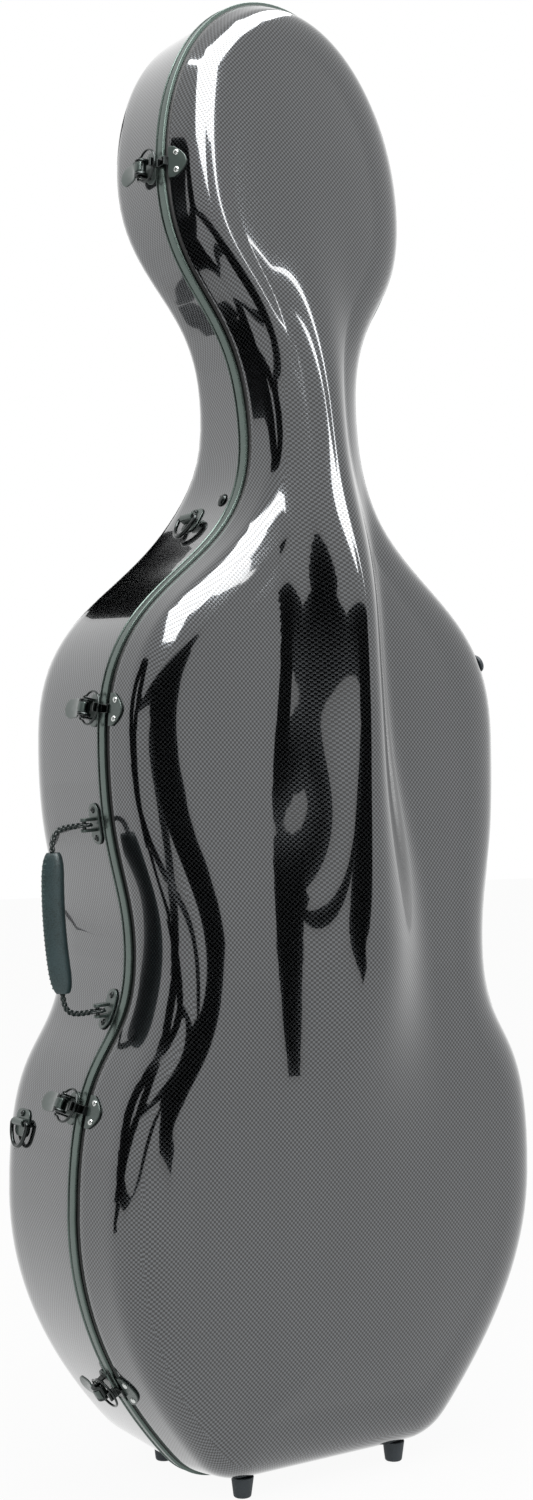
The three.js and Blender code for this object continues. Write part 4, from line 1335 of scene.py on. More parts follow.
def on_joint(rough: Matrix, name: str, axis: int, point: tuple[float, float, float]) -> Matrix:
    """Turns and moves a fitting's frame, so that its pin lies on the line that its joint turns about.

    Args:
        rough: the frame as the wall gives it.
        name: the joint.
        axis: which of the frame's axes the pin lies along, 1 for Y or 2 for Z.
        point: the middle of the pin in the frame.

    Returns:
        The frame, with its X axis still pointing out of the case.
    """
    place, line = joint_line(name)
    turn = rough.to_3x3()
    if line.dot(turn.col[axis]) < 0:
        line = -line
    out = (turn.col[0] - line * line.dot(turn.col[0])).normalized()
    axes = (out, line, out.cross(line)) if axis == 1 else (out, line.cross(out), line)
    made = axes_frame(*axes, Vector())
    made.translation = place - made.to_3x3() @ Vector(point)
    return made


# Radius and height of each ring of what stands on the walls, from the wall outwards
SCREW = [(2.7, 2.0), (2.75, 2.5), (2.5, 3.0), (2.0, 3.35), (1.35, 3.5), (1.2, 3.45), (1.1, 2.7), (0.3, 2.6)]
RIVET = [(2.9, 2.0), (2.9, 2.3), (2.6, 2.9), (1.9, 3.4), (1.0, 3.65), (0.3, 3.7)]
STRAP_RIVET = [(6.4, 0.35), (6.5, 0.9), (6.2, 1.5), (5.2, 2.5), (3.8, 3.15), (2.0, 3.5), (0.4, 3.6)]
PUCK = [
    (8.9, 0.35), (8.95, 2.6), (8.6, 4.2), (7.7, 5.2), (6.3, 5.85), (4.2, 6.0), (2.2, 5.95), (1.9, 5.0), (0.5, 4.9),
]
CONE_FOOT = [(5.2, 1.2), (5.6, 0.5), (6.2, 0.0), (7.3, 0.25), (7.9, 0.9), (8.15, 1.8)]


def grown(profile: Section, share: float) -> Section:
    """A profile with its radii grown."""
    return [(radius * share, height) for radius, height in profile]


@dataclass
class Fittings:
    """What all fittings need: the form that they sit on and their finishes."""

    loft: Loft
    finishes: Finishes

    def metals(self, count: int) -> list[Material]:
        """The first finishes of a metal fitting: cast zinc, black steel and chrome."""
        return [self.finishes.zinc, self.finishes.black_steel, self.finishes.chrome][:count]


@dataclass
class Latches(Fittings):
    """The four draw latches on the left side: base, lever with drum and tab, wire bail, and the catch on the lid."""

    heights: dict = field(
        default_factory=lambda: {Level.HEAD: 1205.0, Level.UPPER: 706.0, Level.LOWER: 356.0, Level.BASE: 107.0}
    )
    pivot: tuple[float, float] = (10.0, 25.0)
    plate: tuple[float, float] = (0.3, 1.8)
    catch_plate: tuple[float, float] = (0.3, 2.1)
    ear: tuple[float, float] = (7.8, 9.4)
    drum_radius: float = 6.9
    drum_half: float = 7.5
    bail_pin: float = 4.5
    bail_wire: float = 1.1
    bail_half: float = 15.0
    bail_front: float = 2.27
    bail_opening: float = 50.0
    catch_start: float = -4.1
    catch_half: float = 14.6
    tab_end: float = 58.0
    tab_half: float = 9.0

    def build(self) -> None:
        """Builds and dresses every latch."""
        for level, height in self.heights.items():
            seat, lid = (Seat(self.loft, shell, -1, height) for shell in Half)
            place = on_joint(seat.matrix(), f"lever_{level.value}_pivot", 2, (*self.pivot, 0))
            self._base(level.value, seat, place)
            self._lever(level.value, place)
            self._bail(level.value, place)
            self._catch(level.value, lid, place)

    def _base(self, name: str, seat: Seat, place: Matrix) -> None:
        """The plate on the back shell, with two ears that carry the drum's pin.

        Args:
            name: the latch's name.
            seat: its place on the back shell.
            place: its frame, on its joint's line.
        """
        mould = Mould(place)
        mould.slab(rounded((13.1, -15), (32.1, 15), 9.0), seat.on_wall, *self.plate, 0.6)
        x, y = self.pivot
        ear = np.array([(1.2, y - 4.2), *oval(x, y, 2.9, 2.9, angles(-90, 90, 13)), (1.2, y + 4.2)])
        for end in (-1, 1):
            mould.prism(ear, *mirrored_span(end, *self.ear), 0.3, 1)
            mould.rod((x, y, end * 9.3), (x, y, end * 9.9), 1.5, 0.4, 20, 2)
        mould.cast("latch_plate_" + name, "back", self.metals(3), "fitting_metal", "latch_base_" + name)

    def _tab_top(self, y: np.ndarray) -> np.ndarray:
        """Height of the tab's top, which follows the drum and then drops towards its tip.

        Args:
            y: distances back from the seam.

        Returns:
            One height for each distance.
        """
        x, pivot = self.pivot
        drop = x + 0.7 + 6.5 * np.exp(-(y - pivot) / 11)
        drum = x + np.sqrt(np.maximum(self.drum_radius**2 - (y - pivot) ** 2, 4)) + 0.1
        return np.where(y < pivot, drum, drop) - 0.1

    def _lever(self, name: str, place: Matrix) -> None:
        """The drum with its collars, and the tab that the thumb lifts.

        Args:
            name: the latch's name.
            place: its frame, on its joint's line.
        """
        mould = Mould(place)
        x, y = self.pivot
        r, h = self.drum_radius, self.drum_half
        collar = [(r - 2.0, 4.7), (r - 0.45, 4.9), (r - 0.5, h - 0.6), (r - 0.9, h - 0.15), (r - 1.6, h)]
        mould.revolve([(radius, -height) for radius, height in collar[::-1]] + collar, (x, y, 0), slot=1)
        side = [(y + 6.5, 8.6), (y + 3.5, 7.6), (y + 2.2, 6.4), (y + 1.0, 4.5), (y - 5.5, 4.4)]
        tip = oval(self.tab_end - self.tab_half, 0, self.tab_half, self.tab_half, angles(-90, 90, 19))
        plan = np.array([*tip, *side, *[(back, -across) for back, across in side[::-1]]])

        def surface(back: np.ndarray, across: np.ndarray, rise: np.ndarray) -> np.ndarray:
            """The tab's top, hollowed for the thumb."""
            bowl = 0.9 * (across / self.tab_half) ** 2
            return mould.to_frame(np.stack([self._tab_top(back) + rise - bowl, back, across], 1))

        mould.slab(plan, surface, -1.7, 0.0, 0.6)
        node = "latch_lever_" + name
        mould.cast(node + "_made", "lever_" + name, self.metals(2), "fitting_metal", node)

    def _bail(self, name: str, place: Matrix) -> None:
        """The oval wire that reaches over the rim to the hook.

        Args:
            name: the latch's name.
            place: its frame, on its joint's line.
        """
        x, back = self.pivot[0], self.pivot[1] + self.bail_pin
        middle, reach = (self.bail_front + back) / 2, (back - self.bail_front) / 2
        turns = angles(self.bail_opening, 360 - self.bail_opening, 49)
        bow = [(x, y, z) for y, z in oval(middle, 0, reach, self.bail_half, turns)]
        end = [(x, back, 7.7), (x, back, 9.6), (x, back - 0.5, 10.9)]
        path = [*end, *bow, *[(x, y, -z) for _, y, z in end[::-1]]]
        mould = Mould(place)
        mould.sweep(np.array(path), circle(self.bail_wire, 14), up=(1, 0, 0))
        steel = [self.finishes.black_steel]
        mould.cast("latch_wire_" + name, "bail_" + name, steel, "wire", "latch_bail_" + name, weigh=False)

    def _catch(self, name: str, lid: Seat, place: Matrix) -> None:
        """The plate on the lid, with its two rivets and the hook that the bail pulls on.

        Args:
            name: the latch's name.
            lid: its place on the lid.
            place: its frame, on its joint's line.
        """
        mould = Mould(place)
        start, half = self.catch_start, self.catch_half
        t = np.linspace(0, 1, 17)
        plan = np.stack([quadratic(start - 5, start - 29, start - 5, t), half * (1 - 2 * t)], 1)
        mould.slab(np.array([(start, half), *plan, (start, -half)]), lid.on_wall, *self.catch_plate, 0.5)
        hook = [(-2, -5.7), (5.1, -5.7), (5.1, 4.5), (13.3, 4.5), (13.3, 6.9), (3.5, 6.9), (3.5, -4.1), (-2, -4.1)]
        mould.prism(np.array(softened(hook, 0.7)), -4, 4, 0.35, 1)
        for z in (-8.2, 8.2):
            mould.stud(lid, start - 7.6, z, RIVET, 2)
        mould.cast("latch_hook_" + name, "lid", self.metals(3), "fitting_metal", "latch_catch_" + name)


@dataclass
class Hinges(Fittings):
    """The two hinges on the right side, on one line: a leaf on each shell and the pin through their knuckles."""

    heights: dict = field(default_factory=lambda: {Level.UPPER: 700.0, Level.LOWER: 250.0})
    starts: dict = field(default_factory=lambda: {Half.BACK: 15.0, Half.LID: 4.8})
    plate: tuple[float, float] = (0.3, 2.1)
    axis_out: float = 8.7
    axis_front: float = 1.9
    half: float = 24.0
    third: float = 8.0
    knuckle: float = 4.0
    play: float = 0.2
    pin: float = 1.5
    leaf: float = 22.0

    @staticmethod
    def _frame(height: float) -> Matrix:
        """A frame on the hinges' line, with Z up along it."""
        place, axis = joint_line("lid_hinge")
        rear = Vector((0, 1, 0))
        return axes_frame(rear.cross(axis), rear, axis, place + axis * ((height - place.z) / axis.z))

    def build(self) -> None:
        """Builds and dresses both hinges."""
        t, p, h = self.third, self.play, self.half
        knuckles = {Half.BACK: [(-h, -t - p), (t + p, h)], Half.LID: [(-t + p, t - p)]}
        for level, height in self.heights.items():
            frame_of = self._frame(height)
            for side, spans in knuckles.items():
                self._leaf(level.value, height, frame_of, side, spans)
            mould = Mould(frame_of)
            mould.rod((0, 0, -h), (0, 0, h), self.pin, 0.5, 24)
            steel = [self.finishes.black_steel]
            mould.cast("hinge_axle_" + level.value, "back", steel, "wire", "hinge_pin_" + level.value)

    def _leaf(
        self, name: str, height: float, frame_of: Matrix, side: Half, knuckles: Section
    ) -> None:
        """One leaf: its knuckles, the bridge over the rim and the plate on the shell.

        Args:
            name: the hinge's name.
            height: its height on the case.
            frame_of: its frame, on the hinges' line.
            side: the half that the leaf sits on.
            knuckles: lower and upper end of each knuckle.
        """
        mould = Mould(frame_of)
        way, h, start = side.value, self.half, self.starts[side]

        def bar(near: float, far: float, inner: float, outer: float, radius: float, low: float, high: float) -> None:
            """A straight bar between two depths and two distances from the hinges' line."""
            front, rear = mirrored_span(way, near, far)
            mould.prism(rounded((inner, front), (outer, rear), radius, 2), low, high, radius)

        for low, high in knuckles:
            mould.tube(self.pin + 0.3, self.knuckle, low, high)
            bar(3.0, 5.0, -3.9, -2.2, 0.2, low, high)
        bar(4.5, start + 1.8, -3.9, -2.2, 0.3, -h, h)
        bar(start, start + 1.8, -self.axis_out + 0.9, -2.3, 0.3, -h, h)
        seat = Seat(self.loft, side, 1, height)
        front, rear = (y - self.axis_front for y in mirrored_span(way, start, start + self.leaf))
        mould.slab(rounded((front, -h), (rear, h), 4.0), seat.on_wall, *self.plate, 0.5)
        for z in (-15.5, 0, 15.5):
            mould.stud(seat, (front + rear) / 2 + way * 3, z, SCREW, 1)
        finishes = [self.finishes.zinc, self.finishes.chrome]
        body = side.body
        mould.cast(f"hinge_{body}_plate_{name}", body, finishes, "fitting_metal", f"hinge_{body}_leaf_{name}")


@dataclass
class CarryingHandle(Fittings):
    """The side handle: two anchors, two braided links and a leather grip with a whip-stitched outer edge."""

    heights: dict = field(default_factory=lambda: {Level.UPPER: 607.0, Level.LOWER: 436.0})
    plate: tuple[float, float] = (0.3, 2.1)
    depth: float = 29.0
    axis_rise: float = 12.0
    bar: float = 2.0
    cord: float = 3.0
    play: float = 0.3
    reach: float = 34.0
    bow: float = 4.0
    length: float = 124.0
    half_width: float = 13.0
    half_thickness: float = 10.0
    # Share of the length from the middle, and the width there as a share of the full width
    profile: Stations = (
        (0, 1), (0.3, 1), (0.55, 1), (0.72, 0.99), (0.84, 0.93), (0.92, 0.83), (0.97, 0.72), (1.0, 0.6),
    )
    end_shrink: float = 0.8
    stitch: float = 4.2
    stitched_share: float = 0.94

    def __post_init__(self) -> None:
        """Works out the frame on the line through both bars."""
        top, foot = (Vector(self._bar_point(height)) for height in self.heights.values())
        middle, along = joint_line("handle_swing")
        rear = (Vector((0, 1, 0)) - along * along.y).normalized()
        self.frame_of = axes_frame(rear.cross(along), rear, along, middle)
        self.span = (foot - top).length / 2

    def _bar_point(self, height: float) -> np.ndarray:
        """The middle of the bar that a link turns on.

        Args:
            height: the bar's height at the seam.

        Returns:
            The point in millimetres.
        """
        loft = self.loft
        x, z, nx, nz = loft.edge_at(np.array([loft.arc_at(height)]))
        out = self.axis_rise - self.depth * float(loft.draft(Half.BACK, height))
        return loft.place(Half.BACK, -(x + nx * out), self.depth, z + nz * out)[0]

    def build(self) -> None:
        """Builds and dresses the handle."""
        for level, end in ((Level.UPPER, -1), (Level.LOWER, 1)):
            self._anchor(level.value, end * self.span)
            self._link(level.value, end)
        self._grip()

    def _anchor(self, name: str, middle: float) -> None:
        """A long oval plate with two screws, and two lugs with a bar between them.

        Args:
            name: the anchor's name.
            middle: where its bar lies along the handle's line.
        """
        height = (self.frame_of @ Vector((-self.axis_rise, 0, middle))).z
        seat = Seat(self.loft, Half.BACK, -1, height, self.depth)
        mould = Mould(self.frame_of)
        mould.slab(rounded((-8.8, -18.8), (8.8, 18.8), 8.6), seat.on_wall, *self.plate, 0.7)
        foot = -self.axis_rise + 1.2
        lug = np.array([(foot, -4.6), *oval(0, 0, 3.6, 3.9, angles(-90, 90, 13)), (foot, 4.6)])
        for side in (-1, 1):
            near, far = (middle + end for end in mirrored_span(side, 3.4, 6.2))
            mould.prism(lug, near, far, 0.5)
        mould.rod((0, 0, middle - 3.6), (0, 0, middle + 3.6), self.bar - 0.05, 0.1, 24, 1)
        for z in (-12.8, 12.8):
            mould.stud(seat, 0.0, z, grown(SCREW, 1.15), 1)
        mould.cast("handle_mount_" + name, "back", self.metals(2), "fitting_metal", "handle_anchor_" + name)

    @staticmethod
    def _braid(mould: Mould, path: np.ndarray, up: tuple, pitch: float, closed: bool = False) -> None:
        """Adds three leather strands that are braided round a path.

        Args:
            mould: the piece that they belong to.
            path: the middle line.
            up: the direction that the braid's flat side keeps to.
            pitch: length in which a strand comes round.
            closed: whether the path is a loop.
        """
        place = np.concatenate([[0], np.cumsum(np.linalg.norm(np.diff(path, axis=0), axis=1))])
        if closed:
            total = place[-1] + np.linalg.norm(path[0] - path[-1])
            pitch = total / max(1, round(total / pitch))
        side, lift = path_frame(path, up, closed)
        for k in range(3):
            turn = 2 * math.pi * (place / pitch + k / 3)
            offset = side * (1.35 * np.sin(turn))[:, None] + lift * (0.75 * np.sin(2 * turn))[:, None]
            mould.sweep(path + offset, circle(1.0, 12) * np.array([1.35, 0.95]), closed=closed, up=up)

    def _link(self, name: str, end: int) -> None:
        """A braided loop round the bar, and the braid that runs from it into the grip.

        Args:
            name: the link's name.
            end: 1 for the lower end of the handle and -1 for the upper.
        """
        middle = end * self.span
        mould = Mould(self.frame_of)
        eye = self.bar + self.play + self.cord
        loop = np.array([(x, y, middle) for x, y in circle(eye, 64)])
        self._braid(mould, loop, (0, 0, 1), 16.0, closed=True)
        grip_end = end * (self.length / 2 + self.play)
        out = self.reach
        controls = ((eye, 0, middle), (0.75 * out, 0, middle), (out, 0, middle), (out, 0, grip_end))
        self._braid(mould, cubic(controls, 79), (0, 1, 0), 15.0)
        braid = [self.finishes.braid]
        mould.cast("handle_braid_" + name, "handle", braid, "leather", "handle_link_" + name, weigh=False)

    def _grip(self) -> None:
        """The leather sleeve, folded outwards to a thin edge, and the stitches over that edge."""
        mould = Mould(self.frame_of)
        turns = full_turn(48)
        rows = []
        for at in np.sin(np.linspace(-math.pi / 2, math.pi / 2, 61)):
            middle, w = self._place_at(at)
            pinch = 1 - 0.62 * np.maximum(np.cos(turns), 0) ** 1.5
            x = middle + w * self.half_thickness * np.cos(turns)
            y = w * self.half_width * np.sin(turns) * pinch
            rows.append(np.stack([x, y, np.full_like(x, at * self.length / 2)], 1))
        foot, top = (edge.mean(axis=0) + (edge - edge.mean(axis=0)) * self.end_shrink for edge in (rows[0], rows[-1]))
        mould.stack([foot, *rows, top])
        count = int(self.length * self.stitched_share / self.stitch)
        turns = angles(-118, 118, 13)
        for k in range(count):
            at = ((k + 0.5) / count * 2 - 1) * self.stitched_share
            middle, w = self._place_at(at)
            x, z = middle + w * self.half_thickness, at * self.length / 2
            arc = np.stack([x - 2.1 + 2.0 * np.cos(turns), 2.6 * np.sin(turns), z + 1.3 * np.sin(turns)], 1)
            mould.sweep(arc, circle(0.55, 8), slot=1)
        finishes = [self.finishes.leather, self.finishes.thread]
        mould.cast("handle_sleeve", "handle", finishes, "leather", "handle_grip", weigh=False)

    def _place_at(self, at: float) -> tuple[float, float]:
        """How far out the grip's middle lies, and its width as a share, from one end at -1 to the other at 1."""
        return self.reach + self.bow * (1 - at * at), float(np.interp(abs(at), *np.array(self.profile).T))


@dataclass
class StrapFittings(Fittings):
    """The four plates folded round D rings, for shoulder straps."""

    heights: dict = field(default_factory=lambda: {Level.UPPER: 889.0, Level.LOWER: 332.0})
    depths: dict = field(default_factory=lambda: {Level.UPPER: 70.4, Level.LOWER: 112.65})
    plate: tuple[float, float] = (0.3, 1.6)
    bar_rise: float = 6.0
    fold_wall: float = 1.5
    ring_half: float = 15.0
    ring_drop: float = 22.0
    wire: float = 1.9

    def build(self) -> None:
        """Builds and dresses every strap fitting."""
        for level, height in self.heights.items():
            for hand, label in HANDS.items():
                name = f"{level.value}_{label}"
                seat = Seat(self.loft, Half.BACK, hand, height, self.depths[level])
                place = on_joint(seat.matrix(), f"ring_{name}_swing", 1, (self.bar_rise, 0, 0))
                self._plate(name, seat, place)
                self._ring(name, -hand, place)

    def _plate(self, name: str, seat: Seat, place: Matrix) -> None:
        """The plate with its fold over the ring's bar, and its screw.

        Args:
            name: the fitting's name.
            seat: its place on the back shell.
            place: its frame, on its ring's line.
        """
        down = -seat.hand
        mould = Mould(place)
        mould.slab(rounded((-12.8, -12.8), (12.8, 12.8), 7.0), seat.on_wall, *self.plate, 0.6)
        inner = self.wire + 0.3
        outer = inner + self.fold_wall
        turns = angles(-90, 205, 25)
        over, under = (oval(self.bar_rise, 0, r, down * -r, turns) for r in (outer, inner))
        strap = np.array([(1.8, down * (outer + 0.3)), *over, *under[::-1], (1.8, down * (inner - 0.1))])
        mould.prism(strap, -9.8, 9.8, 0.3, axes="xzy")
        mould.stud(seat, 0.0, -down * 8.6, grown(SCREW, 1.1), 1)
        mould.cast("strap_mount_" + name, "back", self.metals(2), "fitting_metal", "strap_plate_" + name)

    def _ring(self, name: str, down: int, place: Matrix) -> None:
        """The D ring of round wire, which hangs down from its bar.

        Args:
            name: the fitting's name.
            down: which way along the frame's Z axis is down.
            place: its frame, on its ring's line.
        """
        mould = Mould(place)
        r = self.ring_half
        bow = oval(0, 0, -r, down * self.ring_drop, angles(0, 180, 41))[1:-1]
        straight = [(y, 0.0) for y in np.linspace(r - 1, -r + 1, 9)]
        path = np.array([(self.bar_rise, y, z) for y, z in (*bow, *straight)])
        mould.sweep(path, circle(self.wire, 16), closed=True, up=(1, 0, 0))
        steel = [self.finishes.black_steel]
        mould.cast("strap_dee_" + name, "ring_" + name, steel, "wire", "strap_ring_" + name, weigh=False)


@dataclass
class Feet(Fittings):
    """The rubber feet under the case and on its right side, and the rivets of the neck strap."""

    spread: float = 87.0
    depths: dict = field(default_factory=lambda: {Half.LID: 31.0, Half.BACK: 99.0})
    side_heights: dict = field(default_factory=lambda: {Level.UPPER: 757.0, Level.LOWER: 312.0})
    side_shares: dict = field(default_factory=lambda: {Half.LID: 0.5, Half.BACK: 0.4})
    rivet_height: float = 904.0
    rivet_depth: float = 30.0

    def build(self) -> None:
        """Builds and dresses every foot and rivet."""
        rubber, steel = [self.finishes.rubber], [self.finishes.black_steel]
        for hand, label in HANDS.items():
            for side, depth in self.depths.items():
                body = side.body
                mould = Mould()
                x, y, _ = self.loft.place(side, hand * self.spread, depth, 0.0)
                mould.revolve(self._cone(side, depth), (float(x), float(y), 0))
                mould.cast(f"foot_cone_{body}_{label}", body, rubber, "rubber", f"foot_{body}_{label}")
            seat = Seat(self.loft, Half.BACK, hand, self.rivet_height, self.rivet_depth)
            mould = Mould()
            mould.stud(seat, 0, 0, STRAP_RIVET)
            mould.cast("neck_rivet_" + label, "back", steel, "fitting_metal", "strap_rivet_" + label)
        for level, height in self.side_heights.items():
            for side, share in self.side_shares.items():
                body = side.body
                mould = Mould()
                mould.stud(Seat(self.loft, side, 1, height, share * float(self.loft.depth(side, height))), 0, 0, PUCK)
                name = f"{body}_{level.value}"
                mould.cast("side_puck_" + name, body, rubber, "rubber", "side_foot_" + name)

    def _cone(self, side: Half, depth: float) -> Section:
        """The profile of a foot under the case, from the floor up to the shell.

        Args:
            side: the half that the foot sits on.
            depth: its depth from the seam.

        Returns:
            Radius and height of each ring.
        """
        base = self.loft.form.base_height
        top = base - 0.35 + depth * float(self.loft.draft(side, base))
        low, start = CONE_FOOT[-1]
        flank = [(low + 2.2 * (h - start) / (top - start), h) for h in np.linspace(3, top - 0.5, 8)]
        return [*CONE_FOOT, *flank, (10.0, top - 0.1), (9.4, top)]


@dataclass
class SoftGoods(Fittings):
    """The padded pieces that hold the cello: foam blocks under velour, swelled by simulation, and the neck strap."""

    blocks: tuple[str, ...] = (
        "upper_pad_left", "upper_pad_right", "lower_pad_left", "lower_pad_right", "end_pad", "neck_cradle",
    )
    voxel: float = 5.0
    tuck: float = 3.0
    cap: float = 3.2
    pressure: float = 4.0
    frames: int = 20
    strap_thick: float = 2.4
    strap_lift: float = 15.0
    # Share of the half length from the middle, and the strap's rise there as a share of its lift
    strap_rises: Stations = (
        (-1, 0), (-0.62, 0), (-0.5, 0.35), (-0.2, 0.93), (0.2, 0.93), (0.5, 0.35), (0.62, 0), (1, 0),
    )

    def build(self) -> None:
        """Builds and dresses every soft piece."""
        for node in self.blocks:
            self._stuffed(node)
        self._strap()

    def _stuffed(self, node: str) -> None:
        """A foam block under velour: its CAD solid is shrunk, and air pressure swells its cover to a crown again.

        Args:
            node: the CAD node that it stands for.
        """
        scene = bpy.context.scene
        solid = frame["nodes"][node]
        made = bpy.data.objects.new(node + "_cushion", solid.data.copy())
        scene.collection.objects.link(made)
        made.matrix_world = solid.matrix_world
        remesh = made.modifiers.new("voxels", "REMESH")
        remesh.mode, remesh.voxel_size = "VOXEL", self.voxel * MM
        self._bake(made)
        points = self._read(made.data.vertices, "co")
        start = points - self._read(made.data.vertex_normals, "vector") * self.tuck * MM
        made.data.vertices.foreach_set("co", start.ravel())
        made.data.update()
        cloth = made.modifiers.new("velour", "CLOTH")
        cloth.settings.use_pressure = True
        cloth.settings.uniform_pressure_force = self.pressure
        cloth.settings.effector_weights.gravity = 0
        cloth.settings.quality = 5
        for number in range(1, self.frames + 1):
            scene.frame_set(number)
            bpy.context.view_layer.update()
        self._bake(made)
        scene.frame_set(1)
        move = self._read(made.data.vertices, "co") - start
        size = np.linalg.norm(move, axis=1, keepdims=True)
        move *= np.minimum(1, self.cap * MM / np.maximum(size, TINY))
        made.data.vertices.foreach_set("co", (start + move).ravel())
        soft = made.modifiers.new("smooth", "SUBSURF")
        soft.levels = soft.render_levels = 1
        self._bake(made)
        made.data.polygons.foreach_set("use_smooth", [True] * len(made.data.polygons))
        made.data.materials.clear()
        made.data.materials.append(self.finishes.velour)
        settle(made, "back", "lining", node)

    @staticmethod
    def _read(items: bpy.types.bpy_prop_collection, what: str) -> np.ndarray:
        """One row of three values for each vertex of a mesh."""
        values = np.empty(len(items) * 3)
        items.foreach_get(what, values)
        return values.reshape(-1, 3)

    @staticmethod
    def _bake(made: Piece) -> None:
        """Turns a piece's modifiers into plain points.

        Args:
            made: the piece.
        """
        graph = bpy.context.evaluated_depsgraph_get()
        baked = bpy.data.meshes.new_from_object(made.evaluated_get(graph))
        made.modifiers.clear()
        made.data = baked

    def _strap(self) -> None:
        """The leather strap over the cello's neck: a band of rounded section, swept along a path that rises over the
        neck.
        """
        low, high = box_of("neck_strap")
        middle, reach = (low + high) / 2, (high[0] - low[0]) / 2
        across, up = (high[2] - low[2]) / 2, self.strap_thick / 2 - 0.1
        xs = np.linspace(-1, 1, 81)
        kernel = np.hanning(9) / np.hanning(9).sum()
        lift = np.interp(xs, *np.array(self.strap_rises, float).T) * self.strap_lift
        lift = np.convolve(np.pad(lift, 4, mode="edge"), kernel, mode="valid")
        depth = high[1] - self.strap_thick / 2 - lift * 0.985
        path = np.stack([middle[0] + xs * reach, depth, np.full_like(xs, middle[2])], 1)
        section = softened([(-up, -across), (up, -across), (up, across), (-up, across)], 0.5)
        mould = Mould()
        mould.sweep(path, np.array(section), local=False)
        made = mould.cast("neck_band", "back", [self.finishes.leather], "lining", "neck_strap", weigh=False)


@dataclass(frozen=True)
class Card:
    """A card hung in the studio: where the gloss shows it in the picture, on which half, and how bright it is."""

    name: str
    side: Half
    outline: Stations
    glow: float = 0.0
    width: float = 0.0

    def corners(self) -> np.ndarray:
        """Its outline in the picture, or a strip of its width along the line that is given.

        Returns:
            One corner a row, in the photograph's pixels.
        """
        line = np.array(self.outline, float)
        if not self.width:
            return line
        along = unit(np.gradient(line, axis=0))
        taper = np.sqrt(np.sin(np.linspace(0.12, math.pi - 0.12, len(line))))[:, None]
        reach = np.stack([along[:, 1], -along[:, 0]], 1) * taper * self.width / 2
        return np.concatenate([line + reach, (line - reach)[::-1]])


# Black flags and bright lamps, by their outlines in the photograph's pixels
CARDS = (
    Card("flag_tall_left", Half.LID, (
        (312, 586), (296, 618), (284, 690), (275, 780), (274, 860), (277, 950), (283, 1020), (289, 1078),
        (300, 1076), (302, 1000), (304, 900), (310, 810), (319, 745), (327, 690), (326, 640),
    )),
    Card("flag_lower_curve", Half.LID, (
        (152, 690), (152, 730), (158, 790), (168, 850), (175, 920), (175, 980), (166, 1035), (149, 1085),
        (131, 1135), (119, 1185), (115, 1235),
    ), width=8),
    Card("flag_shoulder", Half.BACK, (
        (70, 588), (108, 556), (150, 538), (178, 530), (192, 548), (176, 566), (158, 586), (148, 608),
        (100, 610), (62, 606),
    )),
    Card("flag_throat", Half.BACK, ((176, 302), (200, 305), (222, 322), (228, 336), (206, 334), (186, 322))),
    Card("lamp_crown", Half.LID, (
        (206, 64), (213, 42), (236, 22), (262, 12), (290, 14), (262, 22), (241, 36), (224, 56), (212, 76),
    ), glow=9.0),
    Card("lamp_shoulder", Half.LID, (
        (163, 640), (168, 614), (187, 595), (216, 582), (256, 572), (241, 584), (212, 597), (188, 616), (174, 642),
    ), glow=9.0),
)


@dataclass(frozen=True)
class Lamp:
    """A soft lamp: its place and its width in millimetres, and its power in watts."""

    name: str
    place: tuple[float, float, float]
    size: float
    power: float


# A wide lamp in front on the left, a weaker one on the right and one above
LAMPS = (
    Lamp("lamp_left", (-1800, -1500, 1700), 1400, 22),
    Lamp("lamp_right", (1700, -1300, 1500), 1200, 9),
    Lamp("lamp_top", (0, -200, 2900), 1600, 14),
)


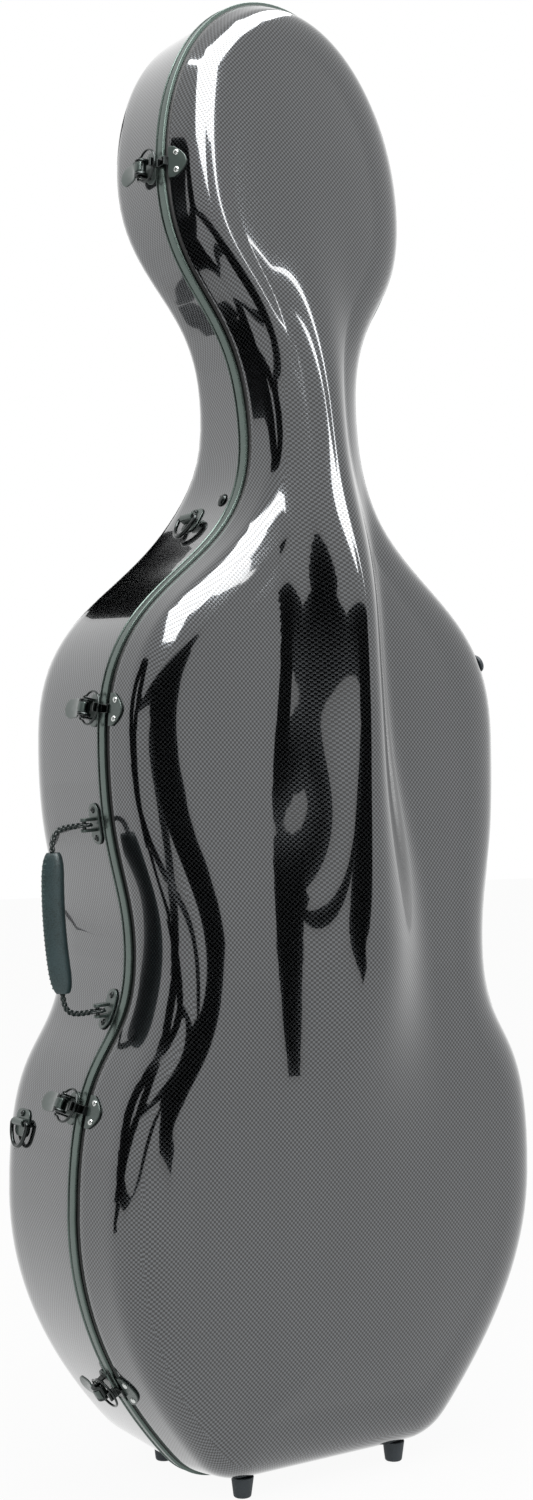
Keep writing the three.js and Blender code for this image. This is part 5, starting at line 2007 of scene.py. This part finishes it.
@dataclass
class Studio:
    """The plain white studio: floor, world, soft lamps, and the black flags and bright cards that the gloss shows."""

    loft: Loft
    turn: float = 36.3
    distance: float = 2012
    height: float = 653
    focal: float = 2153
    middle: tuple[float, float] = (300, 770)
    aim_height: float = 700
    card_reach: float = 4200
    card_floor: float = 30
    screen_far: float = 3000
    screen_half: float = 700
    screen_top: float = 2300
    floor_reach: float = 8000
    floor_drop: float = 0.5
    floor_glow: float = 0.94
    world_light: float = 0.55
    # The skin that the mirror sums use: depth of its edge, its rows on wall, round and face, the steepest sight that
    # counts, and how many points share in each sum
    mirror_edge: float = 3.0
    mirror_rows: tuple[int, int, int] = (14, 26, 44)
    mirror_facing: float = -0.02
    mirror_near: int = 6
    card_step: float = 8.0

    def __post_init__(self) -> None:
        """Works out the camera's place and its directions to the right and ahead, in millimetres."""
        angle = math.radians(self.turn)
        self.right = np.array([math.cos(angle), -math.sin(angle), 0])
        self.ahead = np.array([math.sin(angle), math.cos(angle), 0])
        self.eye = np.array([*self.loft.shift, self.height]) - self.ahead * self.distance

    def build(self) -> None:
        """Sets up the camera, the floor, the world, the lamps and the cards."""
        self._camera()
        self._world()
        self._floor()
        for lamp in LAMPS:
            self._light(lamp)
        for card in CARDS:
            self._hang(card)
        self._screen()

    def _mirrored(self, side: Half, spots: np.ndarray) -> tuple[np.ndarray, np.ndarray]:
        """Finds what the gloss shows at places of the picture.

        Args:
            side: the half that is seen there.
            spots: places in the photograph's pixels.

        Returns:
            The points of the skin that are seen there, and the directions in which they mirror the eye's rays.
        """
        rows = self.loft.skin(side, self.mirror_edge, *self.mirror_rows)
        points, normals = rows.reshape(-1, 3), grid_normals(rows, side).reshape(-1, 3)
        facing = np.einsum("ij,ij->i", unit(points - self.eye), normals) < self.mirror_facing
        points, normals = points[facing], normals[facing]
        ways = points - self.eye
        deep = ways @ self.ahead
        across, up = self.focal * (ways @ self.right) / deep, self.focal * ways[:, 2] / deep
        seen = np.stack([self.middle[0] + across, self.middle[1] - up], 1)
        apart = np.linalg.norm(seen[None] - spots[:, None], axis=2)
        near = np.argsort(apart, axis=1)[:, : self.mirror_near]
        weights = 1 / (np.take_along_axis(apart, near, 1) + 0.5) ** 2
        weights = (weights / weights.sum(axis=1, keepdims=True))[..., None]
        places = (points[near] * weights).sum(axis=1)
        outs = unit((normals[near] * weights).sum(axis=1))
        sight = unit(places - self.eye)
        return places, sight - 2 * np.einsum("ij,ij->i", sight, outs)[:, None] * outs

    def _hang(self, card: Card) -> None:
        """Hangs a card where the gloss shows it at its place in the picture.

        Args:
            card: the card.
        """
        spots = dense(card.corners(), self.card_step)
        places, ways = self._mirrored(card.side, spots)
        reach = np.full(len(ways), self.card_reach)
        low = ways[:, 2] * reach + places[:, 2] < self.card_floor
        reach[low] = (self.card_floor - places[low, 2]) / ways[low, 2]
        parts = tessellate_polygon([[Vector((u, v, 0)) for u, v in spots]])
        self._as_card(mesh_object(card.name, places + ways * reach[:, None], parts, smooth=False), card.glow)

    def _screen(self) -> None:
        """Stands a black screen behind the case, which draws a dark line along its edges and isn't seen itself."""
        middle, half = np.array([*self.loft.shift, 0]) + self.ahead * self.screen_far, self.screen_half
        ends = ((-half, 5), (half, 5), (half, self.screen_top), (-half, self.screen_top))
        corners = [middle + self.right * w + np.array([0, 0, h]) for w, h in ends]
        self._as_card(mesh_object("screen_behind", np.array(corners), [(0, 1, 2, 3)], smooth=False), 0.0)

    @staticmethod
    def _as_card(sheet: Piece, glow: float) -> None:
        """Makes a sheet a card that only reflections show.

        Args:
            sheet: the sheet.
            glow: how bright it is, with zero for black.
        """
        recipe = Recipe("card_" + sheet.name)
        light = recipe.add("Emission", {0: (1, 1, 1, 1), 1: glow})
        feed(recipe.tree, recipe.tree.nodes["Material Output"], {0: light})
        sheet.data.materials.append(recipe.made)
        sheet.visible_camera = sheet.visible_diffuse = sheet.visible_shadow = sheet.visible_transmission = False

    def _camera(self) -> None:
        """Puts the camera where the photograph was taken from."""
        lens = bpy.data.cameras.new("camera")
        lens.sensor_fit = "AUTO"
        lens.sensor_width = SENSOR
        lens.lens = self.focal / PHOTO_HEIGHT * SENSOR
        lens.shift_x = (PHOTO_WIDTH / 2 - self.middle[0]) / PHOTO_HEIGHT
        lens.shift_y = (self.middle[1] - PHOTO_HEIGHT / 2) / PHOTO_HEIGHT
        lens.clip_start, lens.clip_end = 0.05, 50
        camera = bpy.data.objects.new("camera", lens)
        camera.location = Vector(self.eye) * MM
        camera.rotation_euler = (math.pi / 2, 0, -math.radians(self.turn))
        bpy.context.scene.collection.objects.link(camera)
        bpy.context.scene.camera = camera

    def _world(self) -> None:
        """Makes the world white to the eye and in reflections, and dimmer as a light."""
        world = bpy.data.worlds.new("white_studio")
        bpy.context.scene.world = world
        world.use_nodes = True
        tree = world.node_tree
        strength = add_node(tree, "MapRange", {0: self._seen(tree), 3: self.world_light, 4: 1.0})
        feed(tree, tree.nodes["Background"], {0: (1, 1, 1, 1), 1: strength.outputs[0]})

    @staticmethod
    def _seen(tree: bpy.types.NodeTree) -> Socket:
        """One for camera, glossy and transmission rays, and zero for the rest.

        Args:
            tree: the node tree.

        Returns:
            The socket that holds the one or zero.
        """
        path = add_node(tree, "LightPath").outputs
        first = add_node(tree, "Math", {0: path["Is Camera Ray"], 1: path["Is Glossy Ray"]}, operation="MAXIMUM")
        both = add_node(tree, "Math", {0: first.outputs[0], 1: path["Is Transmission Ray"]}, operation="MAXIMUM")
        return both.outputs[0]

    def _floor(self) -> None:
        """Lays the pale floor, which shows white and keeps the case's shadow."""
        reach = self.floor_reach
        corners = [(x * reach, y * reach, -self.floor_drop) for x, y in ((-1, -1), (1, -1), (1, 1), (-1, 1))]
        floor = mesh_object("floor", corners, [(0, 1, 2, 3)])
        recipe = Recipe("matt_white_floor")
        floor.data.materials.append(recipe.finish({"Base Color": linear("e6e6e4"), "Roughness": 0.9}))
        glow = recipe.add("Emission", {0: (1, 1, 1, 1), 1: 1.0})
        share = recipe.math("MULTIPLY", self._seen(recipe.tree), self.floor_glow)
        mixed = recipe.add("MixShader", {0: share, 1: recipe.shader.outputs[0], 2: glow})
        feed(recipe.tree, recipe.tree.nodes["Material Output"], {0: mixed})

    def _light(self, lamp: Lamp) -> None:
        """Hangs a soft lamp that looks at the middle of the case.

        Args:
            lamp: the lamp.
        """
        light = bpy.data.lights.new(lamp.name, "AREA")
        light.energy, light.size = lamp.power, lamp.size * MM
        made = bpy.data.objects.new(lamp.name, light)
        made.location = Vector(lamp.place) * MM
        aim = Vector((0, 0, self.aim_height)) * MM - made.location
        made.rotation_mode = "QUATERNION"
        made.rotation_quaternion = aim.to_track_quat("-Z", "Y")
        made.visible_glossy = False
        bpy.context.scene.collection.objects.link(made)


def box_of(name: str) -> np.ndarray:
    """Lowest and highest corner of a CAD node, in millimetres."""
    return np.array([list(c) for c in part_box(name)]) / MM


def main() -> None:
    """Builds the case, piece by piece, and the studio round it."""
    logging.basicConfig(level=logging.INFO, format="%(message)s")
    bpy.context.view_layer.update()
    bpy.context.scene.view_settings.view_transform = "Standard"
    back = box_of("back_shell")
    loft = Loft(CaseForm(), ((back[0, 0] + back[1, 0]) / 2, joint_line("lid_hinge")[0].y + Hinges.axis_front))
    finishes = Finishes()
    Shells(loft, finishes.carbon).build()
    Linings(loft, finishes.velour).build()
    for kind in (Rim, Latches, Hinges, CarryingHandle, StrapFittings, Feet, SoftGoods):
        kind(loft, finishes).build()
    Studio(loft).build()


if __name__ == "__main__":
    main()
